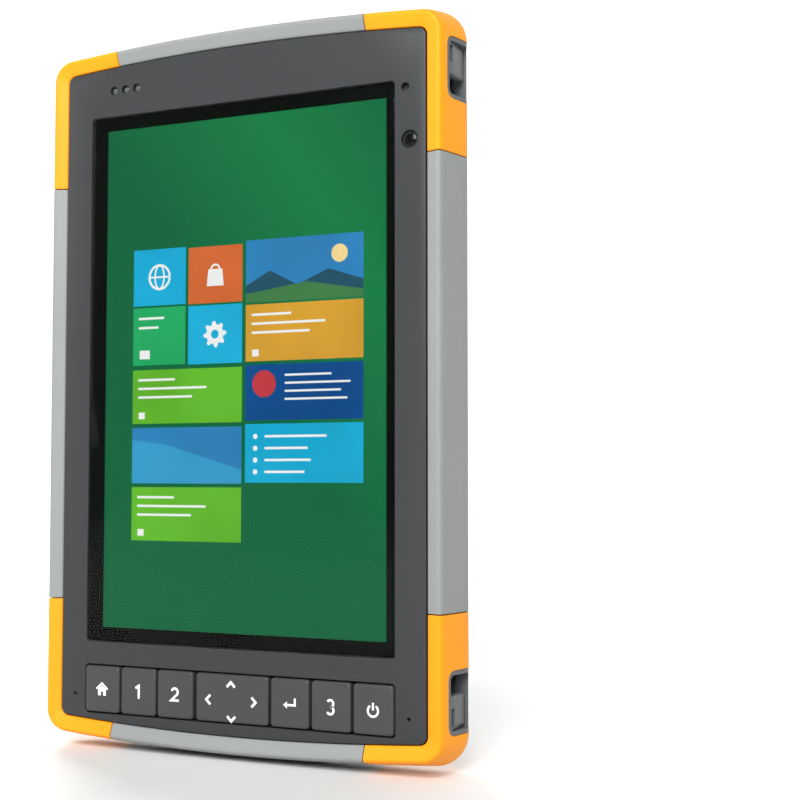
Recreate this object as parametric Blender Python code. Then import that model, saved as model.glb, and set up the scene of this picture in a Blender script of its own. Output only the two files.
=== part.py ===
"""Rugged field data collector: a seven-inch tablet with seven keys, bumpers, a latched battery door and
a service panel.

World frame: metres, +Z up the long side, the display faces -Y, +X is right as seen from the front, and the
origin is on the floor under the middle of the bounding box. The shapes are drawn in the device's own terms,
in millimetres: x to the right, depth behind the bezel's face, height above the middle of the case.
at() turns these into world coordinates.
"""

import math

import bmesh
import bpy
from mathutils import Vector

MM = 0.001
WIDTH, DEPTH, HEIGHT = 136.0, 35.0, 215.0
GAP = 0.3  # between neighbours that touch on the real object

# The core: everything inside the bumper ring shares this outline.
CORE_HALF_WIDTH, CORE_HALF_HEIGHT, CORE_CORNER = 60.4, 100.2, 2.4
END_ARC = 760.0  # radius of the bowed top and bottom

# Depth of each layer behind the bezel's face.
BUMPER_FRONT = -1.1
BEZEL_BACK, BEZEL_SKIN = 5.0, 2.4
FRAME_FRONT, FRAME_FLOOR, FRAME_BACK = 5.3, 6.9, 12.6
CASE_FRONT, CASE_SHOULDER, CASE_BACK = 13.8, 19.3, 27.0
CASE_WALL, COVER_WALL = 4.4, 1.8
CROWN_WIDTH, CROWN_POWER = 20.0, 1.35  # how the back falls away towards its edges
BULGE_TOP = DEPTH + BUMPER_FRONT

# The bumper ring's section, as (distance inside the ring's crest, depth, corner radius).
CREST = 7.6  # how far the crest stands outside the core
# It rises from the bezel to its front edge, so the display lies below it on a flat surface.
RING_SECTION = (
    (7.3, 0.5, 2.6), (7.1, 0.15, 2.7), (4.1, -1.05, 5.0), (3.5, -1.1, 5.6), (2.9, -0.7, 6.3), (2.3, 0.6, 6.9),
    (1.5, 4.2, 7.8), (0.6, 8.0, 8.8), (0.0, 11.2, 9.6), (0.3, 12.8, 9.4), (1.8, 15.4, 8.0),
    (3.7, 18.4, 6.4), (4.6, 19.4, 5.4), (6.5, 19.9, 3.6), (7.3, 19.8, 2.8),
)
SEAM_X, SEAM_HEIGHT = 41.8, 63.0

# Front features, as (x, height).
GLASS_CENTRE, GLASS_HALF = (-0.2, 4.2), (50.9, 79.4)
KEY_HEIGHT, KEY_HALF_HEIGHT, KEY_HALF_WIDTH, DPAD_HALF_WIDTH = -89.5, 6.85, 6.1, 12.0
KEY_FRONT, KEY_BACK = -0.35, 2.9
KEYS = {"home": -45.2, "p1": -32.3, "p2": -19.4, "enter": 18.7, "p3": 31.7, "power": 44.7}
DPAD_X = -0.2
LIGHTS_X, LIGHTS_HEIGHT, LIGHT_STEP = -39.4, 91.9, 4.1
FRONT_CAMERA = (55.5, 67.1)
LIGHT_SENSOR = (54.2, 81.8)
MICROPHONES = ((-55.3, -91.4), (55.2, -91.4))

# Back features, as (x, height) seen from the front.
DOOR_SEAM_X, DOOR_HALF_HEIGHT, PANEL_EDGE_X = 31.6, 46.75, 57.8
BULGE_CENTRE, BULGE_HALF, BULGE_CORNER, BULGE_ARC = (-2.5, 0.0), (34.1, 61.7), 14.0, 130.0
RIDGE_CENTRE, RIDGE_HALF, RIDGE_WAIST = (1.6, -1.2), (28.4, 55.0), 5.6  # the edge of the bulge's flat top
BAY_CENTRE, BAY_HALF, BAY_FLOOR = (-2.5, 0.0), (31.0, 43.5), 15.3
PANEL_SCREWS = {
    "panel_screw_top": (35.7, 32.7, 2.7), "panel_screw_middle": (35.7, 0.1, 2.7),
    "panel_screw_bottom": (35.7, -32.6, 2.7), "panel_screw_outer_top": (55.9, 27.5, 1.9),
    "panel_screw_outer_bottom": (55.9, -27.3, 1.9),
}
SIDE_SCREWS = {
    "case_screw_left_1": (-60.2, 59.0), "case_screw_left_2": (-60.2, 22.4),
    "case_screw_left_3": (-60.2, -22.4), "case_screw_left_4": (-60.2, -58.6),
    "case_screw_right_1": (60.2, 59.0), "case_screw_right_2": (60.2, -2.6),
    "case_screw_right_3": (60.2, -58.6),
}
TOP_SCREWS = {"top_screw_left": (-19.2, 103.4), "top_screw_right": (19.2, 103.4)}
INSERTS = {
    "insert_top_left": (-36.2, 63.3), "insert_top_right": (36.2, 63.3), "insert_bottom_right": (36.2, -63.3),
}
REAR_CAMERA, FLASH = (50.3, 70.1), (51.2, 58.0)
SOCKETS = ((-26.4, -92.4), (26.4, -92.4))
SPEAKER = (50.6, 38.3)
LATCH_X, LATCH_TOP, LATCH_BOTTOM, LATCH_HALF_WIDTH = 45.3, 14.3, -14.1, 5.5
LATCH_LENGTH = 20.6
SPRING_TOP, SPRING_FOOT = -7.9, -21.7
LUG_DEPTHS, LUG_HEIGHTS, LUG_BACK = (2.2, 14.4), (78.3, 95.7), 61.0
LUG_BRIDGE, LUG_BRIDGE_EDGE = (64.3, 66.3), 85.0  # the bridge's thickness and its free edge
LUG_SLOT_DEPTHS, LUG_SLOT_HEIGHTS = (3.5, 5.5), (88.4, 93.4)
JACK = (34.0, -94.4)
PORT_PATH = (  # height, depth of the surface and half width, from the tab's top to the foot's end
    (-90.2, 23.9, 4.7), (-94.5, 22.4, 4.3), (-98.6, 20.4, 3.4), (-100.6, 19.8, 1.7), (-102.8, 19.2, 2.4),
    (-104.9, 16.2, 4.0), (-105.4, 15.4, 4.0),
)
PORT_PIVOT = (15.27, -105.19)  # depth and height of the middle of the foot's end
PIVOT_ROOM = 4  # the channel runs on past the foot, so that the foot's end can turn in it

FINISHES = {  # colour, roughness, metallic
    "bezel_grey": ((0.075, 0.078, 0.082), 0.45, 0.0),
    "case_grey": ((0.13, 0.135, 0.14), 0.55, 0.0),
    "bumper_orange": ((0.90, 0.33, 0.03), 0.50, 0.0),
    "bumper_grey": ((0.36, 0.37, 0.37), 0.50, 0.0),
    "key_grey": ((0.09, 0.092, 0.096), 0.45, 0.0),
    "display_glass": ((0.01, 0.01, 0.012), 0.08, 0.0),
    "display_panel": ((0.02, 0.25, 0.10), 0.30, 0.0),
    "frame_metal": ((0.42, 0.43, 0.44), 0.40, 1.0),
    "board_green": ((0.02, 0.16, 0.07), 0.50, 0.0),
    "black_rubber": ((0.012, 0.012, 0.012), 0.75, 0.0),
    "black_plastic": ((0.02, 0.02, 0.021), 0.45, 0.0),
    "screw_black": ((0.03, 0.03, 0.03), 0.35, 1.0),
    "brass": ((0.83, 0.68, 0.32), 0.30, 1.0),
    "steel": ((0.62, 0.62, 0.62), 0.30, 1.0),
    "lens_glass": ((0.03, 0.03, 0.04), 0.05, 0.0),
    "light_pipe": ((0.75, 0.78, 0.78), 0.25, 0.0),
    "cell_blue": ((0.05, 0.12, 0.32), 0.50, 0.0),
}


def clear_scene():
    for old in list(bpy.data.objects):
        bpy.data.objects.remove(old, do_unlink=True)


def at(x, depth, height):
    return Vector((x, depth - DEPTH / 2 - BUMPER_FRONT, height + HEIGHT / 2)) * MM


# Outlines, as loops of (x, height)

def bowed(half_width, half_height, corner, arc=END_ARC, centre=(0.0, 0.0), steps=(4, 4), side_points=()):
    """A loop with straight sides, bowed ends and round corners, each arc tangent to the next.

    Steps are those of half an end and of a corner, and side_points the heights of extra points on the sides.
    """
    side = half_width - corner
    arc_centre = half_height - arc
    corner_height = arc_centre + math.sqrt((arc - corner) ** 2 - side**2)
    lean = math.asin(side / (arc - corner))
    quarter = []
    for i in range(steps[0]):
        angle = lean * i / steps[0]
        quarter.append((arc * math.sin(angle), arc_centre + arc * math.cos(angle)))
    for i in range(steps[1] + 1):
        angle = lean + (math.pi / 2 - lean) * i / steps[1]
        quarter.append((side + corner * math.sin(angle), corner_height + corner * math.cos(angle)))
    right = quarter + [(half_width, h) for h in side_points] + [(x, -h) for x, h in reversed(quarter)]
    loop = right + [(-x, h) for x, h in reversed(right[1:-1])]
    return [(x + centre[0], h + centre[1]) for x, h in loop]


def core(inset=0.0, corner=CORE_CORNER):
    return bowed(CORE_HALF_WIDTH - inset, CORE_HALF_HEIGHT - inset, corner)


def rounded(centre, half, corner, steps=3):
    loop = []
    for turn in range(4):
        across, up = ((1, 1), (-1, 1), (-1, -1), (1, -1))[turn]
        for i in range(steps + 1):
            angle = math.pi / 2 * (turn + i / steps)
            loop.append((centre[0] + across * (half[0] - corner) + corner * math.cos(angle),
                         centre[1] + up * (half[1] - corner) + corner * math.sin(angle)))
    return loop


def circle(centre, radius, sides=16):
    turns = [2 * math.pi * i / sides for i in range(sides)]
    return [(centre[0] + radius * math.cos(a), centre[1] + radius * math.sin(a)) for a in turns]


# Solids, as bmesh

def loft(rings, ring_shaped=False):
    """Skins loops of world points in order, and either caps the ends or joins the last to the first."""
    mesh = bmesh.new()
    rows = [[mesh.verts.new(point) for point in ring] for ring in rings]
    for first, second in zip(rows, rows[1:] + rows[:1] if ring_shaped else rows[1:]):
        for i in range(len(first)):
            j = (i + 1) % len(first)
            mesh.faces.new((first[i], first[j], second[j], second[i]))
    if not ring_shaped:
        mesh.faces.new(rows[0])
        mesh.faces.new(rows[-1])
    bmesh.ops.recalc_face_normals(mesh, faces=mesh.faces)
    return mesh


def stack(layers):
    """A solid of flat outlines one behind the other, from (outline, depth) pairs."""
    return loft([[at(x, depth, h) for x, h in outline] for outline, depth in layers])


def prism(outline, front, back):
    return stack([(outline, front), (outline, back)])


def block(x_range, depth_range, height_range):
    (x0, x1), (h0, h1) = x_range, height_range
    return prism([(x0, h0), (x1, h0), (x1, h1), (x0, h1)], *depth_range)


def turned(centre, section, sides=16, ring_shaped=False):
    """A solid of revolution about an axis along the depth, from (radius, depth) pairs."""
    rings = [[at(x, depth, h) for x, h in circle(centre, radius, sides)] for radius, depth in section]
    return loft(rings, ring_shaped)


def together(*solids):
    """Solids that don't meet, held in one mesh."""
    mesh = bmesh.new()
    for solid in solids:
        part = bpy.data.meshes.new("part")
        solid.to_mesh(part)
        mesh.from_mesh(part)
        bpy.data.meshes.remove(part)
    return mesh


def helper(solid):
    mesh = bpy.data.meshes.new("helper")
    solid.to_mesh(mesh)
    made = bpy.data.objects.new("helper", mesh)
    bpy.context.scene.collection.objects.link(made)
    return made


def boolean(first, second, operation):
    body, tool = helper(first), helper(second)
    step = body.modifiers.new("boolean", "BOOLEAN")
    step.operation, step.object, step.solver = operation, tool, "EXACT"
    result = bmesh.new()
    result.from_object(body, bpy.context.evaluated_depsgraph_get())
    for used in (body, tool):
        mesh = used.data
        bpy.data.objects.remove(used)
        bpy.data.meshes.remove(mesh)
    return result


def cut(solid, *tools):
    for tool in tools:
        solid = boolean(solid, tool, "DIFFERENCE")
    return solid


def add(solid, *tools):
    for tool in tools:
        solid = boolean(solid, tool, "UNION")
    return solid


def common(solid, tool):
    return boolean(solid, tool, "INTERSECT")


def material(finish):
    if finish in bpy.data.materials:
        return bpy.data.materials[finish]
    colour, roughness, metallic = FINISHES[finish]
    made = bpy.data.materials.new(finish)
    made.use_nodes = True
    made.diffuse_color = (*colour, 1.0)
    shader = made.node_tree.nodes["Principled BSDF"]
    shader.inputs["Base Color"].default_value = (*colour, 1.0)
    shader.inputs["Roughness"].default_value = roughness
    shader.inputs["Metallic"].default_value = metallic
    return made


def node(name, solid, finish, origin=None):
    """Makes the named object, with its origin at a world point where it moves."""
    mesh = bpy.data.meshes.new(name)
    solid.to_mesh(mesh)
    made = bpy.data.objects.new(name, mesh)
    bpy.context.scene.collection.objects.link(made)
    if origin is not None:
        for vertex in mesh.vertices:
            vertex.co -= origin
        made.location = origin
    mesh.shade_smooth()
    mesh.set_sharp_from_angle(angle=math.radians(32))
    mesh.materials.append(material(finish))
    return made


# The back's own surface, which the case, the battery door and the service panel share

def crown(lower=0.0):
    """The body of the back with its sloping edges, its surface sunk by the given distance."""
    layers = [(core(), CASE_FRONT), (core(), CASE_SHOULDER - lower)]
    for inset in (0.5, 3.0, 6.0, 9.5, 14.0, CROWN_WIDTH):
        fall = (CASE_BACK - CASE_SHOULDER) * (1 - inset / CROWN_WIDTH) ** CROWN_POWER
        layers.append((core(inset, CORE_CORNER + 0.6 * inset), CASE_BACK - fall - lower))
    return stack(layers)


def bulge(lower=0.0):
    """The battery's raised back, from inside the crown to its flat top, whose sides draw in at the middle."""
    outline = bowed(BULGE_HALF[0] - lower, BULGE_HALF[1] - lower, BULGE_CORNER - lower, BULGE_ARC - lower,
                    BULGE_CENTRE, (3, 4), (30, 18, 6, -6, -18, -30))
    ridge = []
    for x, h in outline:
        across, up = (x - BULGE_CENTRE[0]) / BULGE_HALF[0], h / BULGE_HALF[1]
        half_width = RIDGE_HALF[0] - RIDGE_WAIST * (1 - up**2)
        ridge.append((RIDGE_CENTRE[0] + across * half_width, RIDGE_CENTRE[1] + up * RIDGE_HALF[1]))
    layers = [(outline, CASE_FRONT + 6)]
    for part in (0.0, 0.12, 0.35, 0.65, 1.0):  # of the way from the outline to the ridge
        loop = [(x + part * (rx - x), h + part * (rh - h)) for (x, h), (rx, rh) in zip(outline, ridge)]
        rise = (BULGE_TOP - CASE_BACK) * (1 - (1 - part) ** 2.2)
        layers.append((loop, CASE_BACK + rise - lower))
    return stack(layers)


# Display side

def light_places():
    return [(LIGHTS_X + i * LIGHT_STEP, LIGHTS_HEIGHT) for i in (-1, 0, 1)]


def make_bezel():
    body = stack([(core(0.35, 2.2), 0.0), (core(), 0.35), (core(), BEZEL_BACK)])
    key_row = rounded((-0.2, KEY_HEIGHT), (51.4, KEY_HALF_HEIGHT + 0.45), 1.2)
    holes = [turned(place, [(1.25, -1), (1.25, 4)], 10) for place in light_places()]
    holes += [turned(FRONT_CAMERA, [(2.5, -1), (2.5, 4)]), turned(LIGHT_SENSOR, [(1.2, -1), (1.2, 1.6)], 10)]
    holes += [turned(place, [(0.5, -1), (0.5, 4)], 8) for place in MICROPHONES]
    glass_seat = rounded(GLASS_CENTRE, (GLASS_HALF[0] + GAP, GLASS_HALF[1] + GAP), 1.4)
    window = rounded(GLASS_CENTRE, (GLASS_HALF[0] - 1.5, GLASS_HALF[1] - 1.5), 1.2)
    body = cut(body, prism(core(2.2, 1.6), BEZEL_SKIN, 7), prism(glass_seat, -2, 1.75),
               prism(window, 1, 7), prism(key_row, -2, 7), together(*holes))
    node("front_bezel", body, "bezel_grey")


def make_display():
    node("touch_glass", prism(rounded(GLASS_CENTRE, GLASS_HALF, 1.2), 0.25, 1.45), "display_glass")
    panel_half = (GLASS_HALF[0] - 1.9, GLASS_HALF[1] - 1.9)
    node("lcd_panel", prism(rounded(GLASS_CENTRE, panel_half, 1.0), 1.75, BEZEL_BACK), "display_panel")


def key_cap(x, half_width):
    centre, full = (x, KEY_HEIGHT), (half_width, KEY_HALF_HEIGHT)
    face = (half_width - 0.35, KEY_HALF_HEIGHT - 0.35)
    return stack([(rounded(centre, face, 0.8), KEY_FRONT), (rounded(centre, full, 1.0), 0.1),
                  (rounded(centre, full, 1.0), KEY_BACK)])


def make_keys():
    for name, x in KEYS.items():
        node(f"key_{name}", key_cap(x, KEY_HALF_WIDTH), "key_grey", at(x, KEY_BACK, KEY_HEIGHT))
    pivot = at(DPAD_X, 3.5, KEY_HEIGHT)
    node("key_dpad", key_cap(DPAD_X, DPAD_HALF_WIDTH), "key_grey", pivot)
    node("dpad_pivot", turned((DPAD_X, KEY_HEIGHT), [(1.8, 3.2), (1.8, 3.8)], 12), "steel", pivot)


def make_keypad_board():
    board = prism(rounded((-0.2, KEY_HEIGHT), (53.0, 6.2), 1.5), 4.1, BEZEL_BACK)
    domes = [(x, KEY_HEIGHT) for x in KEYS.values()]
    domes += [(DPAD_X - 7.4, KEY_HEIGHT), (DPAD_X + 7.4, KEY_HEIGHT)]
    domes += [(DPAD_X, KEY_HEIGHT - 4.8), (DPAD_X, KEY_HEIGHT + 4.8)]
    bumps = together(*[turned(place, [(1.5, 3.85), (2.0, 4.3)], 10) for place in domes])
    node("keypad_board", add(board, bumps), "board_green")


def make_front_fittings():
    bar = prism(rounded((LIGHTS_X, LIGHTS_HEIGHT), (5.6, 1.7), 0.8), 2.7, 3.9)
    pipes = [turned(place, [(0.95, 0.3), (0.95, 3.0)], 10) for place in light_places()]
    node("status_lights", add(bar, together(*pipes)), "light_pipe")
    lens = turned(FRONT_CAMERA, [(1.5, 0.6), (2.2, 0.9), (2.2, 3.0)])
    module = prism(rounded(FRONT_CAMERA, (2.4, 3.2), 0.4), 2.7, 4.7)
    node("front_camera", add(module, lens), "black_plastic")


# Chassis

def ears(places, front, back):
    return [turned(place, [(3.0, front), (3.0, back)], 12) for place in places]


def top_ears(front, back):
    return [block((x - 2.3, x + 2.3), (front, back), (98.0, h + 1.3)) for x, h in TOP_SCREWS.values()]


def make_mid_frame():
    body = cut(prism(core(), FRAME_FRONT, FRAME_BACK), prism(core(2.6, 1.6), FRAME_FLOOR, 14))
    bosses = [turned((x, h), [(3.0, FRAME_FLOOR - 0.5), (3.0, 7.7)], 10) for x in (-44, 44) for h in (-52, 78)]
    body = add(body, together(*bosses), together(*ears(SIDE_SCREWS.values(), FRAME_FRONT, FRAME_BACK)),
               together(*top_ears(FRAME_FRONT, FRAME_BACK)))
    screws = (*SIDE_SCREWS.values(), *TOP_SCREWS.values())
    pilots = [turned(place, [(1.35, 6.7), (1.35, 14)], 8) for place in screws]
    openings = together(prism(rounded((0, -70), (18, 3), 1.5), 4, 8),
                        prism(rounded((0, 86), (14, 2.5), 1.5), 4, 8))
    node("mid_frame", cut(body, together(*pilots), openings), "frame_metal")


def make_main_board():
    board = prism(rounded((0.0, 13.0), (50.0, 71.0), 2.0), 8.0, 9.3)
    parts = (((-24, -2), (30, 52)), ((8, 30), (34, 50)), ((-40, -28), (-8, 20)), ((6, 34), (-20, 6)),
             ((-20, -6), (-46, -36)), ((-46, -34), (60, 74)), ((14, 40), (66, 76)))
    chips = together(*[block(x_range, (9.0, 11.2), h_range) for x_range, h_range in parts])
    node("main_board", add(board, chips), "board_green")


def make_main_seal():
    loops = ((core(1.8, 1.8), 12.9), (core(1.8, 1.8), 13.5), (core(3.0, 1.2), 13.5), (core(3.0, 1.2), 12.9))
    rings = [[at(x, depth, h) for x, h in loop] for loop, depth in loops]
    node("main_seal", loft(rings, ring_shaped=True), "black_rubber")


# Back

def cover_pocket():
    """What the door and the panel take out of the case: the space above the sunk crown."""
    space = block((-64, PANEL_EDGE_X), (CASE_FRONT + 1, 40), (-DOOR_HALF_HEIGHT, DOOR_HALF_HEIGHT))
    return cut(space, crown(COVER_WALL + GAP))


def cavity():
    """The hollow of the case over the main board."""
    layers = [(core(2.2, 1.6), CASE_FRONT - 1), (core(2.2, 1.6), CASE_SHOULDER - CASE_WALL)]
    for inset in (6.0, 12.0, CROWN_WIDTH):
        fall = (CASE_BACK - CASE_SHOULDER) * (1 - inset / CROWN_WIDTH) ** CROWN_POWER
        layers.append((core(inset, CORE_CORNER + 0.6 * inset), CASE_BACK - fall - CASE_WALL))
    return stack(layers)


def make_rear_case():
    body = cut(add(crown(), bulge()), cavity())
    tub_half = (BAY_HALF[0] + 2.6, BAY_HALF[1] + 2.4)
    inner = [prism(rounded(BAY_CENTRE, tub_half, 2.0), CASE_FRONT, 24.0)]
    inner += [turned(place, [(4.6, 18.6), (4.6, 25.0)], 14) for place in INSERTS.values()]
    inner += [block((31.8, 57.6), (16.4, 23.2), (-28.8, 18.0)),
              block((29.0, 40.0), (16.6, 19.3), (-97.4, -88.0))]
    inner.append(common(turned(REAR_CAMERA, [(9.0, 17.9), (9.0, 26.0)]), crown(1.0)))
    inner.append(common(turned(FLASH, [(4.9, 17.4), (4.9, 26.0)], 14), crown(1.0)))
    body = add(body, *inner, together(*ears(SIDE_SCREWS.values(), CASE_FRONT, CASE_SHOULDER + 0.4)))
    body = cut(body, cover_pocket(), prism(rounded(BAY_CENTRE, BAY_HALF, 2.0), BAY_FLOOR, 40))
    seal_groove = loft([[at(x, depth, h) for x, h in rounded(BAY_CENTRE, (BAY_HALF[0] + out, BAY_HALF[1] + out), 2.5)]
                        for out, depth in ((0.6, 23.2), (2.0, 23.2), (2.0, 30), (0.6, 30))], ring_shaped=True)
    body = cut(body, seal_groove, *back_bores(), *latch_spaces(), port_channel(0.35, 0.35, 4.0))
    node("rear_case", body, "case_grey")


def back_bores():
    """The case's round holes: cameras, inserts, screws, sockets and the power jack."""
    bores = [turned(place, [(3.2, 20.0), (3.2, 30)], 14) for place in INSERTS.values()]
    bores += [turned(place, [(2.5, 18.5), (2.5, 30)], 12) for place in SOCKETS]
    bores.append(turned(REAR_CAMERA, [(4.1, 12), (4.1, 19.6), (6.5, 19.6), (8.0, 25.6), (8.0, 30)]))
    bores.append(turned(FLASH, [(2.0, 12), (2.0, 20.2), (3.6, 20.2), (3.6, 30)], 14))
    bores.append(turned(JACK, [(3.5, 12), (3.5, 30)], 14))
    for x, h in SIDE_SCREWS.values():
        bores.append(turned((x, h), [(1.35, 12), (1.35, 16.9), (2.1, 16.9), (2.1, 30)], 12))
    for x, h, head in PANEL_SCREWS.values():
        bores.append(turned((x, h), [(1.35, 17.6), (1.35, 30)], 8))
    return [together(*bores)]


def latch_spaces():
    """The latch's channel, its bolt's slot to the door, and the speaker's chamber."""
    channel = block((LATCH_X - 7.2, LATCH_X + 6.2), (18.6, 30), (SPRING_FOOT - GAP, 15.9))
    bolt_slot = block((DOOR_SEAM_X - 1.8, LATCH_X - 6.8), (21.0, 30), (2.5, 13.4))
    chamber = block((SPEAKER[0] - 6.2, SPEAKER[0] + 5.2), (12, 30), (30.4, 46.0))
    return [channel, bolt_slot, chamber]


def make_battery_door():
    space = block((-64, DOOR_SEAM_X - GAP / 2), (CASE_FRONT + 1, 40),
                  (GAP - DOOR_HALF_HEIGHT, DOOR_HALF_HEIGHT - GAP))
    door = cut(common(add(crown(), bulge()), space), add(crown(COVER_WALL), bulge(COVER_WALL)))
    screws = [SIDE_SCREWS[f"case_screw_left_{i}"] for i in (2, 3)]
    ear_room = together(*[turned(place, [(3.3, 12), (3.3, 30)], 12) for place in screws])
    node("battery_cover", cut(door, ear_room), "case_grey", at(BULGE_CENTRE[0], CASE_BACK, 0))


def make_battery():
    x = BAY_CENTRE[0]
    pack = stack([(rounded((x, 0), (29.6, 42.2), 3.0), 17.4), (rounded((x, 0), (29.6, 42.2), 3.0), 26.4),
                  (rounded((1.0, 0), (20.0, 42.2), 3.0), 31.0)])
    node("battery_cells", pack, "cell_blue")
    contacts = prism(rounded((x, -37.5), (9.0, 2.6), 0.5), BAY_FLOOR + GAP, 16.4)
    middles = [x + i * 3.2 for i in (-2, -1, 0, 1, 2)]
    blades = together(*[block((m - 0.7, m + 0.7), (16.2, 17.0), (-39.2, -35.8)) for m in middles])
    node("battery_contacts", add(contacts, blades), "brass")
    ring = [[at(px, depth, h) for px, h in rounded(BAY_CENTRE, (BAY_HALF[0] + out, BAY_HALF[1] + out), 2.5)]
            for out, depth in ((0.85, 23.5), (1.75, 23.5), (1.75, 24.8), (0.85, 24.8))]
    node("battery_seal", loft(ring, ring_shaped=True), "black_rubber")


def speaker_holes():
    """Rows of two and three small holes, one row after the other."""
    holes = []
    for row in range(11):
        for column in ((-0.5, 0.5) if row % 2 == 0 else (-1.0, 0.0, 1.0)):
            place = (SPEAKER[0] + 3.05 * column, SPEAKER[1] + 1.24 * (5 - row))
            holes.append(turned(place, [(0.45, 12), (0.45, 40)], 6))
    return together(*holes)


def make_service_panel():
    space = block((DOOR_SEAM_X + GAP / 2, PANEL_EDGE_X - GAP), (CASE_FRONT + 1, 40),
                  (GAP - DOOR_HALF_HEIGHT, DOOR_HALF_HEIGHT - GAP))
    panel = cut(common(crown(), space), crown(COVER_WALL))
    slot_centre = (LATCH_X, (LATCH_TOP + LATCH_BOTTOM) / 2)
    slot = rounded(slot_centre, (LATCH_HALF_WIDTH, (LATCH_TOP - LATCH_BOTTOM) / 2), LATCH_HALF_WIDTH - 0.1, 5)
    bores = [turned((x, h), [(1.5, 12), (1.5, 40)], 8) for x, h, head in PANEL_SCREWS.values()]
    seats = []
    for x, h, head in PANEL_SCREWS.values():
        seats.append(turned((x, h), [(head + 0.35, screw_seat(x)), (head + 0.35, 40)], 14))
    node("service_panel", cut(panel, prism(slot, 12, 40), speaker_holes(), together(*bores), together(*seats)),
         "case_grey")


def screw_seat(x):
    """Depth of a screw's seat in the panel: 0.9 mm under the surface at its own place."""
    inset = min(CORE_HALF_WIDTH - abs(x), CROWN_WIDTH)
    fall = (CASE_BACK - CASE_SHOULDER) * (1 - inset / CROWN_WIDTH) ** CROWN_POWER
    return CASE_BACK - fall - 0.9


def make_latch():
    slider_centre = LATCH_TOP - GAP - LATCH_LENGTH / 2
    grip_half = (LATCH_HALF_WIDTH - 0.35, LATCH_LENGTH / 2)
    grip = prism(rounded((LATCH_X, slider_centre), grip_half, LATCH_HALF_WIDTH - 0.5, 5), 21.5, 25.6)
    plate = block((LATCH_X - 6.4, LATCH_X + 4.9), (19.6, 21.8), (-7.6, 15.4))
    bolt = block((DOOR_SEAM_X - 1.3, LATCH_X - 6.0), (21.2, 21.8), (9.9, 12.9))
    node("latch_slider", add(plate, grip, bolt), "case_grey", at(LATCH_X, 20.9, LATCH_TOP - GAP))
    node("latch_spring", coil(), "steel", at(LATCH_X, 20.9, SPRING_FOOT))


def coil(turns=7, radius=1.5, wire=0.32, sides=6, steps=10):
    """A compression spring along the height, between the slider's tail and the channel's end."""
    rings = []
    length = SPRING_TOP - SPRING_FOOT - 2 * wire - 2 * GAP
    for i in range(turns * steps + 1):
        angle = 2 * math.pi * i / steps
        out = Vector((math.cos(angle), math.sin(angle), 0))
        centre = at(LATCH_X, 20.9, SPRING_FOOT + GAP + wire + length * i / (turns * steps)) + out * radius * MM
        ring = []
        for k in range(sides):
            around = 2 * math.pi * k / sides
            ring.append(centre + (out * math.cos(around) + Vector((0, 0, 1)) * math.sin(around)) * wire * MM)
        rings.append(ring)
    return loft(rings)


def make_back_fittings():
    node("rear_camera", turned(REAR_CAMERA, [(4.4, 14.2), (4.4, 17.2), (3.7, 17.2), (3.7, 19.3)]), "black_plastic")
    node("rear_camera_window", turned(REAR_CAMERA, [(6.1, 19.9), (6.1, 20.7), (5.8, 20.9)], 20), "lens_glass")
    node("flash_lens", turned(FLASH, [(3.3, 20.5), (3.3, 22.1), (2.6, 22.5)]), "light_pipe")
    node("speaker", block((SPEAKER[0] - 5.8, SPEAKER[0] + 4.8), (15.2, 19.2), (30.8, 45.6)), "black_plastic")
    for name, place in INSERTS.items():
        section = [(1.3, 20.4), (2.9, 20.4), (2.9, 26.9), (2.6, 27.1), (1.3, 27.1)]
        ring = turned(place, section, 16, ring_shaped=True)
        node(name, ring, "brass")
    cup = turned(JACK, [(3.1, 14.2), (3.1, 19.6), (2.4, 19.6), (2.4, 15.6), (0.8, 15.6), (0.7, 18.6)], 14)
    node("power_jack", cup, "black_plastic")


def screw(name, place, head, top, length, shank=1.1):
    """A socket-head screw, its head's top at the given depth and its shank towards the display."""
    body = turned(place, [(shank, top - length), (shank, top - 1.3), (head, top - 1.3), (head, top - 0.3),
                          (head - 0.3, top)], 12)
    socket = turned(place, [(0.5 * head, top - 0.8), (0.5 * head, top + 1)], 6)
    node(name, cut(body, socket), "screw_black")


def make_screws():
    for name, (x, h, head) in PANEL_SCREWS.items():
        screw(name, (x, h), head, screw_seat(x) + 1.6, 4.6)
    for name, place in SIDE_SCREWS.items():
        screw(name, place, 1.8, 18.5, 11.2)
    for name, place in TOP_SCREWS.items():
        screw(name, place, 1.7, 14.6, 7.4)


# Bumpers

def ring_outline(inside, corner):
    """The bumper ring's outline at a distance inside its crest."""
    out = CREST - inside
    return bowed(CORE_HALF_WIDTH + out, CORE_HALF_HEIGHT + out, corner, END_ARC + out, steps=(6, 6))


def bumper_ring():
    rings = [[at(x, depth, h) for x, h in ring_outline(inside, corner)]
             for inside, depth, corner in RING_SECTION]
    flats = together(block((-80, 80), (-5, 40), (HEIGHT / 2, 130)),
                     block((-80, 80), (-5, 40), (-130, -HEIGHT / 2)))
    room = [turned(place, [(3.35, 4), (3.35, 30)], 12) for place in SIDE_SCREWS.values()]
    room += [block((x - 2.65, x + 2.65), (4.9, 13.0), (97.0, h + 1.65)) for x, h in TOP_SCREWS.values()]
    bore = [(1.5, 12), (1.5, 13.2), (2.2, 13.2), (2.2, 30)]
    bores = [turned(place, bore, 12) for place in TOP_SCREWS.values()]
    return cut(loft(rings, ring_shaped=True), flats, together(*room), together(*bores),
               port_channel(0.35, 0.35, 4.0))


def lug_box(side, end, grow, deep):
    """The strap lug's box in a corner, grown on its four sides, from its back wall outwards."""
    d0, d1 = LUG_DEPTHS
    h0, h1 = LUG_HEIGHTS
    heights = sorted((end * (h0 - grow), end * (h1 + grow)))
    return block(sorted((side * (LUG_BACK - grow + deep), side * 90)), (d0 - grow, d1 + grow), heights)


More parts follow.
